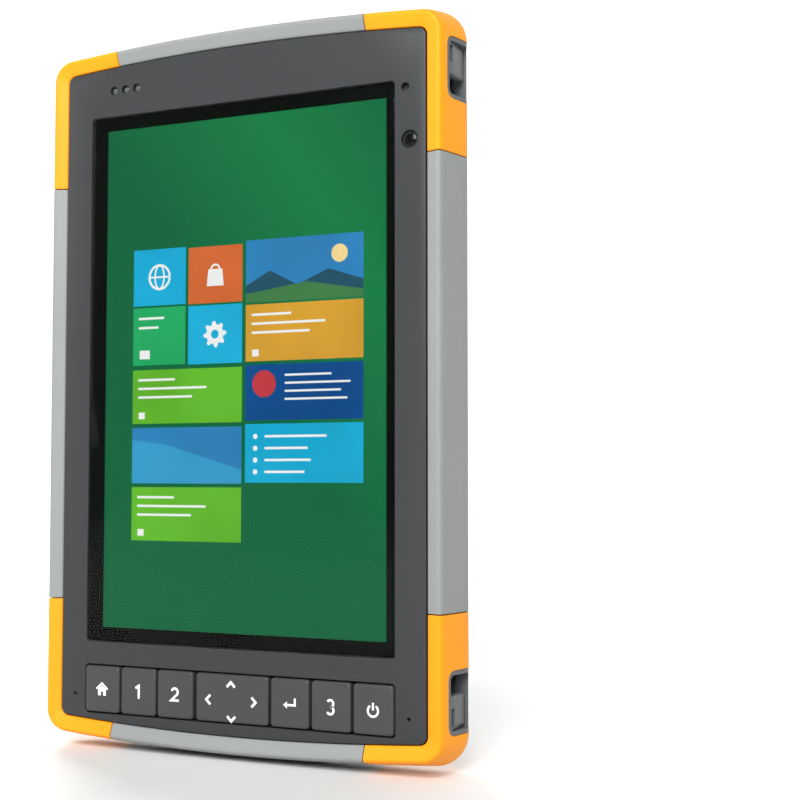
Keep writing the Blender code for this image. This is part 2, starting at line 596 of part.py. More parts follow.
def make_bumpers():
    ring = bumper_ring()
    sides = {"left": -1, "right": 1}
    ends = {"bottom": -1, "top": 1}
    half_gap = GAP / 2
    for end_name, end in ends.items():
        for side_name, side in sides.items():
            space = block(sorted((side * (SEAM_X + half_gap), side * 90)), (-5, 40),
                          sorted((end * (SEAM_HEIGHT + half_gap), end * 130)))
            corner = cut(common(ring, space), lug_box(side, end, GAP, -1.0))
            node(f"corner_bumper_{end_name}_{side_name}", corner, "bumper_orange")
            make_lug(f"strap_lug_{end_name}_{side_name}", side, end)
        space = block((half_gap - SEAM_X, SEAM_X - half_gap), (-5, 40), sorted((end * 80, end * 130)))
        node(f"edge_bumper_{end_name}", common(ring, space), "bumper_grey")
    for side_name, side in sides.items():
        space = block(sorted((side * 50, side * 90)), (-5, 40),
                      (half_gap - SEAM_HEIGHT, SEAM_HEIGHT - half_gap))
        node(f"edge_bumper_{side_name}", common(ring, space), "bumper_grey")


def make_lug(name, side, end):
    """A walled pocket that follows the bumper's surface, with a slotted bridge to tie a strap to."""
    wall = RING_SECTION[5:13]
    solid_ring = stack([(ring_outline(inside + 0.25, corner), depth) for inside, depth, corner in wall])
    body = common(lug_box(side, end, 0.0, 0.0), solid_ring)
    d0, d1 = LUG_DEPTHS
    h0, h1 = LUG_HEIGHTS
    hollow = block(sorted((side * (LUG_BACK + 1.3), side * 90)), (d0 + 1.3, d1 - 1.3),
                   sorted((end * (h0 + 1.3), end * (h1 - 1.3))))
    across = sorted(side * x for x in LUG_BRIDGE)
    bridge = block(across, (d0 + 0.6, d1 - 0.6), sorted((end * LUG_BRIDGE_EDGE, end * (h1 - 0.6))))
    slot = block(sorted((side * 60, side * 70)), LUG_SLOT_DEPTHS, sorted(end * h for h in LUG_SLOT_HEIGHTS))
    node(name, add(cut(body, hollow), common(cut(bridge, slot), solid_ring)), "black_plastic")


# Power port

def port_channel(widen, under, over):
    """The port cover's path over the case's lower edge, as a strap from under to over its surface."""
    points = [Vector((depth, height)) for height, depth, half in PORT_PATH]
    rings = []
    for i, (height, depth, half) in enumerate(PORT_PATH):
        along = (points[min(i + 1, len(points) - 1)] - points[max(i - 1, 0)]).normalized()
        out = Vector((-along.y, along.x))
        end = along * (-widen if i == 0 else PIVOT_ROOM * widen * (i == len(points) - 1))
        low, high = points[i] - out * (under + 1.0) + end, points[i] + out * over + end
        wide = half + widen
        corners = ((-1, low), (1, low), (1, high), (-1, high))
        rings.append([at(JACK[0] + s * wide, p.x, p.y) for s, p in corners])
    return loft(rings)


def make_port_cover():
    node("port_cover", port_channel(0.0, 0.0, 0.5), "black_rubber", at(JACK[0], *PORT_PIVOT))


def main():
    clear_scene()
    make_bezel()
    make_display()
    make_keys()
    make_keypad_board()
    make_front_fittings()
    make_mid_frame()
    make_main_board()
    make_main_seal()
    make_rear_case()
    make_battery_door()
    make_battery()
    make_service_panel()
    make_latch()
    make_back_fittings()
    make_screws()
    make_bumpers()
    make_port_cover()


main()
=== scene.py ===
"""The looks of the rugged field data collector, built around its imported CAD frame.

Lengths are in millimetres and go through at(): x to the right as seen from the front, depth behind the
bezel's face, and height above the middle of the case. Each shell here stands for CAD nodes of the same size
and place, with finer curves, rounded edges and printed symbols.
"""

import math

import bmesh
import bpy
from mathutils import Matrix, Vector


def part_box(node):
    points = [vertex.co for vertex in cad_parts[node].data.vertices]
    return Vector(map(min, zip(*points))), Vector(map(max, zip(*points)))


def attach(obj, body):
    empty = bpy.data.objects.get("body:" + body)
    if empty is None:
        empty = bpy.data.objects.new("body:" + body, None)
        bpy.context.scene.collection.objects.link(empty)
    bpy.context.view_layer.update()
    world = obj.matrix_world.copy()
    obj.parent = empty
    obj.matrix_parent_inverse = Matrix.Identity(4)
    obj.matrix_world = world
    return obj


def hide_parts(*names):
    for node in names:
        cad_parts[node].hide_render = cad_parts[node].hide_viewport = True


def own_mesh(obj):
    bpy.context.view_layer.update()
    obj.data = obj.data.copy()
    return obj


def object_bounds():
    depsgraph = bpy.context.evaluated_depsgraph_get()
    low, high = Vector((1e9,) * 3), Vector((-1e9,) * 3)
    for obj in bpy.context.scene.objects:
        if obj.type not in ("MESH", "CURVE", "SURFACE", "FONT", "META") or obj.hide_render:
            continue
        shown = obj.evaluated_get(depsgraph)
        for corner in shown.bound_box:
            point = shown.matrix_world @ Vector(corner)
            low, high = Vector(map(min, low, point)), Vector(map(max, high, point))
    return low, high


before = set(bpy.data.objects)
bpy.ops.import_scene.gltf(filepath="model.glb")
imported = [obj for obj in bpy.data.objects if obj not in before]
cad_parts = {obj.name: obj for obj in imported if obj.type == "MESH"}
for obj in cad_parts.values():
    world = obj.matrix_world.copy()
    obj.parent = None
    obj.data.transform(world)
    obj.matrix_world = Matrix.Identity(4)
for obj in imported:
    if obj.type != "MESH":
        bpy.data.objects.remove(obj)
CAD_LOW, CAD_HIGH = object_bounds()

MM = 0.001
FACE_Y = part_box("front_bezel")[0][1]
MIDDLE_Z = (CAD_LOW[2] + CAD_HIGH[2]) / 2


# Places, read from the frame

def at(x, depth, height):
    return Vector((x * MM, FACE_Y + depth * MM, MIDDLE_Z + height * MM))


def span(node):
    """A CAD node's ranges of x, depth and height."""
    low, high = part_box(node)
    return ((low[0] / MM, high[0] / MM), ((low[1] - FACE_Y) / MM, (high[1] - FACE_Y) / MM),
            ((low[2] - MIDDLE_Z) / MM, (high[2] - MIDDLE_Z) / MM))


def middle(node):
    """The (x, height) of a CAD node's middle."""
    (x0, x1), _, (h0, h1) = span(node)
    return (x0 + x1) / 2, (h0 + h1) / 2


def half(node):
    (x0, x1), _, (h0, h1) = span(node)
    return (x1 - x0) / 2, (h1 - h0) / 2


CORE_HALF = half("front_bezel")
CORE_CORNER, END_ARC, CREST = 2.4, 760.0, 7.6
TOP = (CAD_HIGH[2] - MIDDLE_Z) / MM
BEZEL_BACK = span("front_bezel")[1][1]
CASE_FRONT, CASE_SHOULDER, CASE_BACK = span("rear_case")[1][0], 19.3, 27.0
BULGE_TOP = span("battery_cover")[1][1]
CROWN_WIDTH, CROWN_POWER = 20.0, 1.35
CASE_WALL, COVER_WALL = 4.4, 1.8
BULGE_CENTRE, BULGE_HALF, BULGE_CORNER, BULGE_ARC = (-2.5, 0.0), (34.1, 61.7), 14.0, 130.0
RIDGE_CENTRE, RIDGE_HALF, RIDGE_WAIST = (1.6, -1.2), (28.4, 55.0), 5.6
GAP, DOOR_GAP = 0.3, 0.42
LATCH_X, LATCH_TRAVEL = 45.3, 7.0
LIP_DEPTH, LIP_INSET = 18.5, 1.4
DOOR_SEAM_X, DOOR_HALF_HEIGHT, PANEL_EDGE_X = 31.6, 46.75, 57.8
BAY_CENTRE, BAY_HALF, BAY_FLOOR = (-2.5, 0.0), (31.0, 43.5), 15.3
SEAM_X, SEAM_HEIGHT = 41.8, 63.0
SIDE_SCREWS = [f"case_screw_left_{i}" for i in (1, 2, 3, 4)] + [f"case_screw_right_{i}" for i in (1, 2, 3)]
TOP_SCREWS = ["top_screw_left", "top_screw_right"]
PANEL_SCREWS = ["panel_screw_top", "panel_screw_middle", "panel_screw_bottom", "panel_screw_outer_top",
                "panel_screw_outer_bottom"]
INSERTS = ["insert_top_left", "insert_top_right", "insert_bottom_right"]
SOCKETS = ((-26.4, -92.4), (26.4, -92.4))
LIGHT_SENSOR, MICROPHONES = (54.2, 81.8), ((-55.3, -91.4), (55.2, -91.4))
KEY_ROW_HALF_WIDTH = 51.4
JACK_X = middle("power_jack")[0]
DISH, DISH_REACH = 0.75, 6.5
AHEAD, BEHIND = -0.35, 40.0  # depths clear of the face and of the back, for tools that cut right through
SIDE_CLEAR = 64.0  # clear of the case at its sides
SCREW_ROOM = 3.3  # radius of the room in the door and the bumpers round a side screw
STATION_IN = 0.6  # how far the second station of a bumper piece is from its end

# The bumper ring's section: distance inside its crest, depth, corner radius, and the reach of each rounding.
RING_SECTION = (
    (7.3, 0.5, 2.6, 0.1), (7.1, 0.15, 2.7, 0.3), (4.1, -1.05, 5.0, 0.4), (3.5, -1.1, 5.6, 0.4),
    (2.9, -0.7, 6.3, 0.5), (2.3, 0.6, 6.9, 9), (1.5, 4.2, 7.8, 9), (0.6, 8.0, 8.8, 9),
    (0.0, 11.2, 9.6, 9), (0.3, 12.8, 9.4, 9), (1.8, 15.4, 8.0, 9), (3.7, 18.4, 6.4, 9),
    (4.6, 19.4, 5.4, 0.8), (6.5, 20.0, 3.6, 0.7), (8.6, 20.1, 1.9, 0.25), (8.75, 19.2, 1.8, 0.1),
    (7.3, 18.9, 2.8, 0.1),
)


# Outlines, as loops of (x, height)

def bowed(half_width, half_height, corner, arc=END_ARC, centre=(0.0, 0.0), steps=(10, 8), side_points=()):
    """A loop with straight sides, bowed ends and round corners, each arc tangent to the next."""
    side = half_width - corner
    arc_centre = half_height - arc
    corner_height = arc_centre + math.sqrt((arc - corner) ** 2 - side**2)
    lean = math.asin(side / (arc - corner))
    quarter = []
    for i in range(steps[0]):
        angle = lean * i / steps[0]
        quarter.append((arc * math.sin(angle), arc_centre + arc * math.cos(angle)))
    for i in range(steps[1] + 1):
        angle = lean + (math.pi / 2 - lean) * i / steps[1]
        quarter.append((side + corner * math.sin(angle), corner_height + corner * math.cos(angle)))
    right = quarter + [(half_width, h) for h in side_points] + [(x, -h) for x, h in reversed(quarter)]
    loop = right + [(-x, h) for x, h in reversed(right[1:-1])]
    return [(x + centre[0], h + centre[1]) for x, h in loop]


def core(inset=0.0, corner=CORE_CORNER):
    return bowed(CORE_HALF[0] - inset, CORE_HALF[1] - inset, corner)


def rounded(centre, half_size, corner, steps=6):
    loop = []
    for turn, (across, up) in enumerate(((1, 1), (-1, 1), (-1, -1), (1, -1))):
        for i in range(steps + 1):
            angle = math.pi / 2 * (turn + i / steps)
            loop.append((centre[0] + across * (half_size[0] - corner) + corner * math.cos(angle),
                         centre[1] + up * (half_size[1] - corner) + corner * math.sin(angle)))
    return loop


def circle(centre, radius, sides=32):
    turns = [2 * math.pi * i / sides for i in range(sides)]
    return [(centre[0] + radius * math.cos(a), centre[1] + radius * math.sin(a)) for a in turns]


def softened(points, reach, steps=4, closed=True):
    """The path with its vertices rounded off, as far along their edges as reach says but at most halfway."""
    path = []
    for i, point in enumerate(points):
        if not closed and i in (0, len(points) - 1):
            path.append(point)
            continue
        ends = []
        for other in (points[i - 1], points[(i + 1) % len(points)]):
            length = (other - point).to_2d().length
            ends.append(point.lerp(other, min(0.5, reach[i] / length)))
        for k in range(steps + 1):
            t = k / steps
            path.append(ends[0] * (1 - t) ** 2 + point * (2 * t * (1 - t)) + ends[1] * t**2)
    return [p for i, p in enumerate(path) if (p - path[i - 1]).length > 1e-4]


def stroke(points, width):
    """The outline of a line of that width through the points, with square ends and mitred joints."""
    line = [Vector(p) for p in points]
    sides = ([], [])
    for i, point in enumerate(line):
        before = (point - line[i - 1]).normalized() if i else None
        after = (line[i + 1] - point).normalized() if i < len(line) - 1 else None
        along = ((before or after) + (after or before)).normalized()
        across = Vector((-along.y, along.x))
        stretch = 1 / max(0.3, along.dot(after or before))
        sides[0].append(point + across * width / 2 * stretch)
        sides[1].append(point - across * width / 2 * stretch)
    return [tuple(p) for p in sides[0] + sides[1][::-1]]


def arc(centre, radius, start, end, steps=14):
    angles = [math.radians(start + (end - start) * i / steps) for i in range(steps + 1)]
    return [(centre[0] + radius * math.cos(a), centre[1] + radius * math.sin(a)) for a in angles]


def shifted(outline, centre, scale=1.0):
    return [(centre[0] + x * scale, centre[1] + h * scale) for x, h in outline]


# Solids, as bmesh

def loft(rings, ring_shaped=False):
    """Skins loops of world points in order, and either caps the ends or joins the last to the first."""
    mesh = bmesh.new()
    rows = [[mesh.verts.new(point) for point in ring] for ring in rings]
    for first, second in zip(rows, rows[1:] + rows[:1] if ring_shaped else rows[1:]):
        for i in range(len(first)):
            j = (i + 1) % len(first)
            mesh.faces.new((first[i], first[j], second[j], second[i]))
    if not ring_shaped:
        mesh.faces.new(rows[0])
        mesh.faces.new(rows[-1])
    bmesh.ops.recalc_face_normals(mesh, faces=mesh.faces)
    if mesh.calc_volume(signed=True) < 0:
        bmesh.ops.reverse_faces(mesh, faces=mesh.faces)
    return mesh


def stack(layers, ring_shaped=False):
    """A solid of flat outlines one behind the other, from (outline, depth) pairs."""
    return loft([[at(x, depth, h) for x, h in outline] for outline, depth in layers], ring_shaped)


def prism(outline, front, back):
    return stack([(outline, front), (outline, back)])


def block(x_range, depth_range, height_range):
    (x0, x1), (h0, h1) = x_range, height_range
    return prism([(x0, h0), (x1, h0), (x1, h1), (x0, h1)], *depth_range)


def placed(name, data):
    """A new object in the scene."""
    made = bpy.data.objects.new(name, data)
    bpy.context.scene.collection.objects.link(made)
    return made


def turned(centre, section, sides=32, ring_shaped=False):
    """A solid of revolution about an axis along the depth, from (radius, depth) pairs."""
    return stack([(circle(centre, radius, sides), depth) for radius, depth in section], ring_shaped)


def sideways(layers):
    """A solid of outlines in (depth, height), one beside the other, from (outline, x) pairs."""
    return loft([[at(x, depth, h) for depth, h in outline] for outline, x in layers])


def at_each(nodes, section, sides=32):
    """The same solid of revolution at the middle of each node."""
    return [turned(middle(node), section, sides) for node in nodes]


def tube(outer, inner, front, back):
    """A straight ring between two outlines with as many points."""
    return stack([(outer, front), (outer, back), (inner, back), (inner, front)], ring_shaped=True)


def together(*solids):
    """Solids held in one mesh."""
    mesh = bmesh.new()
    for solid in solids:
        painted(solid, 0, mesh)
    return mesh


def helper(solid):
    bmesh.ops.triangulate(solid, faces=solid.faces)
    mesh = bpy.data.meshes.new("helper")
    solid.to_mesh(mesh)
    return placed("helper", mesh)


def boolean(first, second, operation):
    body, tool = helper(first), helper(second)
    step = body.modifiers.new("boolean", "BOOLEAN")
    step.operation, step.object, step.solver = operation, tool, "EXACT"
    result = bmesh.new()
    result.from_object(body, bpy.context.evaluated_depsgraph_get())
    for used in (body, tool):
        mesh = used.data
        bpy.data.objects.remove(used)
        bpy.data.meshes.remove(mesh)
    return result


def cut(solid, *tools):
    for tool in tools:
        solid = boolean(solid, tool, "DIFFERENCE")
    return solid


def add(solid, *tools):
    for tool in tools:
        solid = boolean(solid, tool, "UNION")
    return solid


def common(solid, tool):
    return boolean(solid, tool, "INTERSECT")


# Materials

def linear(hex_colour):
    """An sRGB colour such as 'FFB03A' as linear RGBA."""
    parts = [int(hex_colour[i:i + 2], 16) / 255 for i in (0, 2, 4)]
    return (*(c / 12.92 if c <= 0.04045 else ((c + 0.055) / 1.055) ** 2.4 for c in parts), 1.0)


def set_inputs(node, **values):
    """Sets a node's inputs, whose names are written with _ for a space."""
    for name, value in values.items():
        node.inputs[name.replace("_", " ")].default_value = value


def noise(tree, size, **values):
    """A noise over the object's own coordinates, with features of about that many millimetres."""
    place = tree.nodes.new("ShaderNodeTexCoord")
    made = tree.nodes.new("ShaderNodeTexNoise")
    set_inputs(made, Scale=1 / (size * MM), **values)
    tree.links.new(place.outputs["Object"], made.inputs["Vector"])
    return made.outputs["Fac"]


def to_range(tree, value, low, high, start=0.3, end=0.7):
    made = tree.nodes.new("ShaderNodeMapRange")
    set_inputs(made, From_Min=start, From_Max=end, To_Min=low, To_Max=high)
    tree.links.new(value, made.inputs["Value"])
    return made.outputs["Result"]


def calculated(tree, operation, value, number=0.0):
    made = tree.nodes.new("ShaderNodeMath")
    made.operation = operation
    made.inputs[1].default_value = number
    tree.links.new(value, made.inputs[0])
    return made.outputs[0]


def blend_colours(tree, first, second, factor):
    """Mixes two colours, each an RGBA or a socket, by a socket or a number."""
    made = tree.nodes.new("ShaderNodeMix")
    made.data_type = "RGBA"
    for socket, value in ((made.inputs[0], factor), (made.inputs[6], first), (made.inputs[7], second)):
        if isinstance(value, bpy.types.NodeSocket):
            tree.links.new(value, socket)
        else:
            socket.default_value = value
    return made.outputs[2]


def new_material(name):
    made = bpy.data.materials.new(name)
    made.use_nodes = True
    return made, made.node_tree, made.node_tree.nodes["Principled BSDF"]


def varied(tree, colour, share, value):
    """A colour that goes from darker to lighter by that share as a socket's value rises."""
    ends = [(*(min(1.0, c * (1 + way * share)) for c in linear(colour)[:3]), 1.0) for way in (-1, 1)]
    return blend_colours(tree, *ends, to_range(tree, value, 0.0, 1.0))


def moulded(name, colour, roughness=0.5, vary=0.08, grain=0.16, bump=0.02, spread=0.06, **values):
    """Moulded plastic, rubber or metal: a slow drift of colour, and a fine grain in gloss and relief."""
    made, tree, shader = new_material(name)
    drift = noise(tree, 30.0, Detail=3.0)
    fine = noise(tree, grain, Detail=4.0, Roughness=0.6)
    mixed = blend_colours(tree, varied(tree, colour, vary, drift), varied(tree, colour, vary, fine), 0.35)
    tree.links.new(mixed, shader.inputs["Base Color"])
    tree.links.new(to_range(tree, fine, roughness - spread, roughness + spread), shader.inputs["Roughness"])
    relief = tree.nodes.new("ShaderNodeBump")
    set_inputs(relief, Strength=0.35, Distance=bump * MM)
    tree.links.new(fine, relief.inputs["Height"])
    tree.links.new(relief.outputs["Normal"], shader.inputs["Normal"])
    set_inputs(shader, **values)
    return made


def glow(tree, shader, colour):
    """Makes a part of the display's picture give off its own light, with no gloss of its own."""
    tree.links.new(colour, shader.inputs["Emission Color"])
    set_inputs(shader, Emission_Strength=1.0, Base_Color=(0.004, 0.004, 0.004, 1), Specular_IOR_Level=0.0,
               Roughness=0.4)


def lit(name, colour, drift=0.06):
    made, tree, shader = new_material(name)
    glow(tree, shader, varied(tree, colour, drift, noise(tree, 22.0, Detail=1.0)))
    return made


def wallpaper():
    """The display's green background, with two soft slanting beams."""
    made, tree, shader = new_material("picture_green")
    place = tree.nodes.new("ShaderNodeTexCoord")
    colour = linear("0A653A")
    for turn, shift, width in ((0.62, 0.115, 0.045), (-0.42, 0.075, 0.03)):
        slanted = tree.nodes.new("ShaderNodeMapping")
        set_inputs(slanted, Rotation=(0, turn, 0))
        tree.links.new(place.outputs["Object"], slanted.inputs["Vector"])
        parts = tree.nodes.new("ShaderNodeSeparateXYZ")
        tree.links.new(slanted.outputs["Vector"], parts.inputs["Vector"])
        away = calculated(tree, "SUBTRACT", parts.outputs["X"], shift)
        beam = to_range(tree, calculated(tree, "ABSOLUTE", away), 0.5, 0.0, 0.0, width)
        colour = blend_colours(tree, colour, linear("12904A"), beam)
    glow(tree, shader, colour)
    return made


COATED_GLASS_IOR = 1.13  # an anti-glare coating takes away most of the reflection


def clear_glass(name):
    made, tree, shader = new_material(name)
    tree.links.new(to_range(tree, noise(tree, 18.0, Detail=4.0), 0.002, 0.004), shader.inputs["Roughness"])
    set_inputs(shader, Base_Color=(1, 1, 1, 1), Transmission_Weight=1.0, IOR=COATED_GLASS_IOR)
    return made


PAINT = {
    "bezel": moulded("bezel_plastic", "303234", 0.45, 0.05, 0.12, 0.012, Specular_IOR_Level=0.3),
    "case": moulded("case_plastic", "58595B", 0.50, 0.07, 0.22, 0.03, Specular_IOR_Level=0.5),
    "panel": moulded("panel_plastic", "505254", 0.55, 0.05, 0.3, 0.03, Specular_IOR_Level=0.4),
    "bulge": moulded("bulge_plastic", "626466", 0.40, 0.05, 0.15, 0.01, Specular_IOR_Level=0.5),
    "orange": moulded("orange_elastomer", "F2960C", 0.5, 0.04, 0.14, 0.012, Specular_IOR_Level=0.25),
    "grey": moulded("grey_elastomer", "878A89", 0.5, 0.04, 0.14, 0.012, Specular_IOR_Level=0.3),
    "key": moulded("key_plastic", "3A3C3E", 0.45, 0.05, 0.12, 0.008, Specular_IOR_Level=0.35),
    "symbol": moulded("white_symbols", "E4E5E4", 0.5, 0.02, 0.1, 0.002),
    "rubber": moulded("black_rubber", "1B1B1B", 0.62, 0.1, 0.2, 0.02),
    "flap": moulded("flap_rubber", "232425", 0.5, 0.1, 0.2, 0.02),
    # Black plastic for real black parts; also laid on the walls of holes and channels elsewhere as painted
    # shade.
    "black": moulded("black_plastic", "131313", 0.38, 0.1, 0.2, 0.01),
    "lug": moulded("lug_plastic", "55585A", 0.46, 0.07, 0.2, 0.02),
    "screw": moulded("black_screws", "0B0B0C", 0.42, 0.1, 0.15, 0.01, Specular_IOR_Level=0.4),
    "brass": moulded("bright_brass", "E9D68A", 0.28, 0.06, 0.2, 0.01, Metallic=0.9),
    "steel": moulded("spring_steel", "B8BABB", 0.3, 0.05, 0.2, 0.01, Metallic=1.0),
    "metal": moulded("cast_frame", "8E9092", 0.45, 0.08, 0.3, 0.03, Metallic=0.9),
    "board": moulded("circuit_board", "14492B", 0.45, 0.25, 1.2, 0.05),
    "cells": moulded("cell_sleeve", "22406F", 0.4, 0.06, 0.3, 0.01),
    "label": moulded("white_label", "E6E7E5", 0.45, 0.03, 0.3, 0.004),
    "print": moulded("grey_print", "7E8081", 0.6, 0.04, 0.2, 0.002),
    "lens": moulded("dark_lens", "08080A", 0.2, 0.1, 4.0, 0.0, spread=0.02, Specular_IOR_Level=0.2),
    "ring": moulded("lamp_ring", "8F9294", 0.35, 0.05, 0.3, 0.01),
    "smoke": moulded("smoked_lens", "55585A", 0.16, 0.05, 0.5, 0.0, spread=0.04),
    "mask": moulded("display_border", "070A08", 0.3, 0.1, 3.0, 0.0, spread=0.04, Specular_IOR_Level=0.0),
    "glass": clear_glass("cover_glass"),
}


# Pieces

def piece(name, solid, paints, body, stands_for=(), sharp=34):
    """A finished mesh on a body, standing for the named CAD nodes."""
    mesh = bpy.data.meshes.new(name)
    solid.to_mesh(mesh)
    solid.free()
    made = placed(name, mesh)
    mesh.shade_smooth()
    mesh.set_sharp_from_angle(angle=math.radians(sharp))
    for paint in ([paints] if isinstance(paints, str) else paints):
        mesh.materials.append(PAINT[paint])
    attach(made, body)
    if stands_for:
        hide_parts(*([stands_for] if isinstance(stands_for, str) else stands_for))
    return made


def repaint(made, index, test):
    """Gives a material to the faces whose middle passes the test of (x, depth, height)."""
    for face in made.data.polygons:
        middle_x, middle_y, middle_z = face.center
        if test(middle_x / MM, (middle_y - FACE_Y) / MM, (middle_z - MIDDLE_Z) / MM):
            face.material_index = index


def painted(shapes, paint_index, mesh):
    """Adds closed shapes to a bmesh with that material index."""
    part = bpy.data.meshes.new("part")
    shapes.to_mesh(part)
    for face in part.polygons:
        face.material_index = paint_index
    part.update()
    mesh.from_mesh(part)
    bpy.data.meshes.remove(part)
    return mesh


# Display side

def flared(centre, half_size, corner, back):
    """A rounded hole through the bezel's face, wider by 0.5 mm at its rim."""
    wide = (half_size[0] + 0.5, half_size[1] + 0.5)
    return stack([(rounded(centre, wide, corner + 0.4), AHEAD), (rounded(centre, half_size, corner), 0.15),
                  (rounded(centre, half_size, corner), back)])


def make_bezel():
    body = stack([(core(0.4, 2.2), 0.0), (core(0.12, 2.3), 0.1), (core(), 0.4), (core(), BEZEL_BACK)])
    glass, (half_width, half_height) = middle("touch_glass"), half("touch_glass")
    tools = [
        prism(core(2.2, 1.6), 2.4, 7),
        flared(glass, (half_width + GAP, half_height + GAP), 1.1, 1.75),
        prism(rounded(glass, (half_width - 1.5, half_height - 1.5), 1.2), 1, 7),
        flared(middle("key_dpad"), (KEY_ROW_HALF_WIDTH, half("key_home")[1] + 0.45), 1.2, 7),
    ]
    holes = [turned(place, [(1.7, AHEAD), (1.25, 0.12), (1.25, 4)]) for place in light_places()]
    holes.append(turned(middle("front_camera"), [(3.0, AHEAD), (2.5, 0.15), (2.5, 4)]))
    holes.append(turned(LIGHT_SENSOR, [(1.7, AHEAD), (1.2, 0.12), (1.2, 1.6)]))
    holes += [turned(place, [(0.9, AHEAD), (0.5, 0.1), (0.5, 4)], 16) for place in MICROPHONES]
    piece("bezel", cut(body, *tools, together(*holes)), "bezel", "case", "front_bezel")


def light_places():
    x, h = middle("status_lights")
    return [(x + i * 4.1, h) for i in (-1, 0, 1)]


def make_glass():
    centre, (half_width, half_height) = middle("touch_glass"), half("touch_glass")
    front, back = span("touch_glass")[1]
    layers = [(rounded(centre, (half_width - c, half_height - c), 1.2 - c), d)
              for c, d in ((0.18, front), (0.05, front + 0.05), (0.0, front + 0.18), (0.0, back))]
    piece("cover_glass", stack(layers), "glass", "case", "touch_glass")


SCREEN_CENTRE, SCREEN_HALF = (0.8, 4.25), (47.1, 75.4)
PICTURE_COLOURS = (("hill", "1F4F63"), ("meadow", "3E7A46"), ("sun", "F0D690"), ("badge", "B8373C"),
                   ("beam", "3498C6"), ("tile_gear", "17A8D2"))
PICTURE_DEPTH = 1.6
TILES = (  # left, right, bottom, top, colour, symbol
    (-36.4, -17.9, 25.2, 42.2, "12A6D2", "globe"),
    (-16.9, 1.6, 25.0, 41.8, "CC6430", "bag"),
    (2.8, 40.8, 24.4, 42.6, "2C7FB8", "landscape"),
    (-36.4, -17.9, 7.3, 24.6, "1FA560", "sheet"),
    (-16.9, 1.6, 7.1, 24.4, "17A8D2", "gear"),
    (2.8, 40.8, 7.3, 23.8, "CF9A30", "lines"),
    (-36.4, 1.6, -10.2, 5.9, "60B32A", "lines"),
    (2.8, 40.8, -9.8, 6.3, "05488A", "disc"),
    (-36.4, 1.6, -28.0, -11.4, "2A7DB6", "sky"),
    (2.8, 40.8, -27.7, -10.8, "10A8D2", "days"),
    (-36.4, 1.6, -45.0, -29.1, "60B32A", "lines"),
)


def bars(left, top, lengths, step, width):
    """Short lines of text, as plain bars."""
    return [stroke([(left, top - i * step), (left + length, top - i * step)], width)
            for i, length in enumerate(lengths)]


def tile_symbol(kind, left, right, bottom, top):
    """The plain white shapes on a tile, and coloured ones as (outline, paint)."""
    x, h = centre = ((left + right) / 2, (bottom + top) / 2)
    white, coloured = [], []
    if kind == "globe":
        white += [stroke(arc(centre, 3.6, 0, 358, 30), 0.7), stroke([(x - 3.5, h), (x + 3.5, h)], 0.5)]
        turns = [i * math.pi / 12 for i in range(24)]
        white.append(stroke([(x + 1.6 * math.sin(a), h + 3.5 * math.cos(a)) for a in turns], 0.5))
    elif kind == "bag":
        white.append(shifted([(-2.9, -3.4), (2.9, -3.4), (2.4, 1.6), (-2.4, 1.6)], centre))
        white.append(stroke(arc((x, h + 1.4), 1.5, 180, 0, 10), 0.6))
    elif kind == "gear":
        teeth = []
        for i in range(32):
            radius = 3.9 if i % 4 in (0, 1) else 2.9
            angle = 2 * math.pi * i / 32
            teeth.append((x + radius * math.cos(angle), h + radius * math.sin(angle)))
        white.append(teeth)
        coloured.append((circle(centre, 1.3, 20), "tile_gear"))
    elif kind == "landscape":
        coloured.append(([(left, bottom), (right, bottom), (right, bottom + 5), (left + 27, bottom + 8.5),
                          (left + 17, bottom + 4.5), (left + 8, bottom + 9.0), (left, bottom + 5)], "hill"))
        coloured.append(([(left, bottom), (right, bottom), (right, bottom + 2.2), (left + 20, bottom + 5.2),
                          (left, bottom + 2.6)], "meadow"))
        coloured.append((circle((right - 7.5, top - 5.5), 2.6, 24), "sun"))
    elif kind == "lines":
        white += bars(left + 2, top - 3.0, (13, 24, 19), 2.6, 0.7)
        white.append(stroke([(left + 2.2, bottom + 2.4), (left + 4.4, bottom + 2.4)], 2.0))
    elif kind == "disc":
        coloured.append((circle((left + 6.2, top - 5.6), 3.9, 28), "badge"))
        white += bars(left + 13, top - 3.2, (15, 21, 18, 20), 2.3, 0.6)
    elif kind == "sheet":
        white += bars(left + 2, top - 3.2, (9, 7), 2.8, 0.7)
        page = [(-1.8, -1.3), (1.8, -1.3), (1.8, 1.3), (-1.8, 1.3)]
        white.append(shifted(page, (left + 4.2, bottom + 3.2)))
    elif kind == "sky":
        coloured.append(([(left, bottom), (right, bottom), (right, bottom + 4.0), (left + 12, bottom + 11.5),
                          (left, bottom + 13)], "beam"))
    elif kind == "days":
        white += [circle((left + 3.4, top - 3.6 - 3.4 * i), 0.75, 16) for i in range(4)]
        white += bars(left + 6.5, top - 3.6, (20, 14, 15, 13), 3.4, 0.7)
    return white, coloured


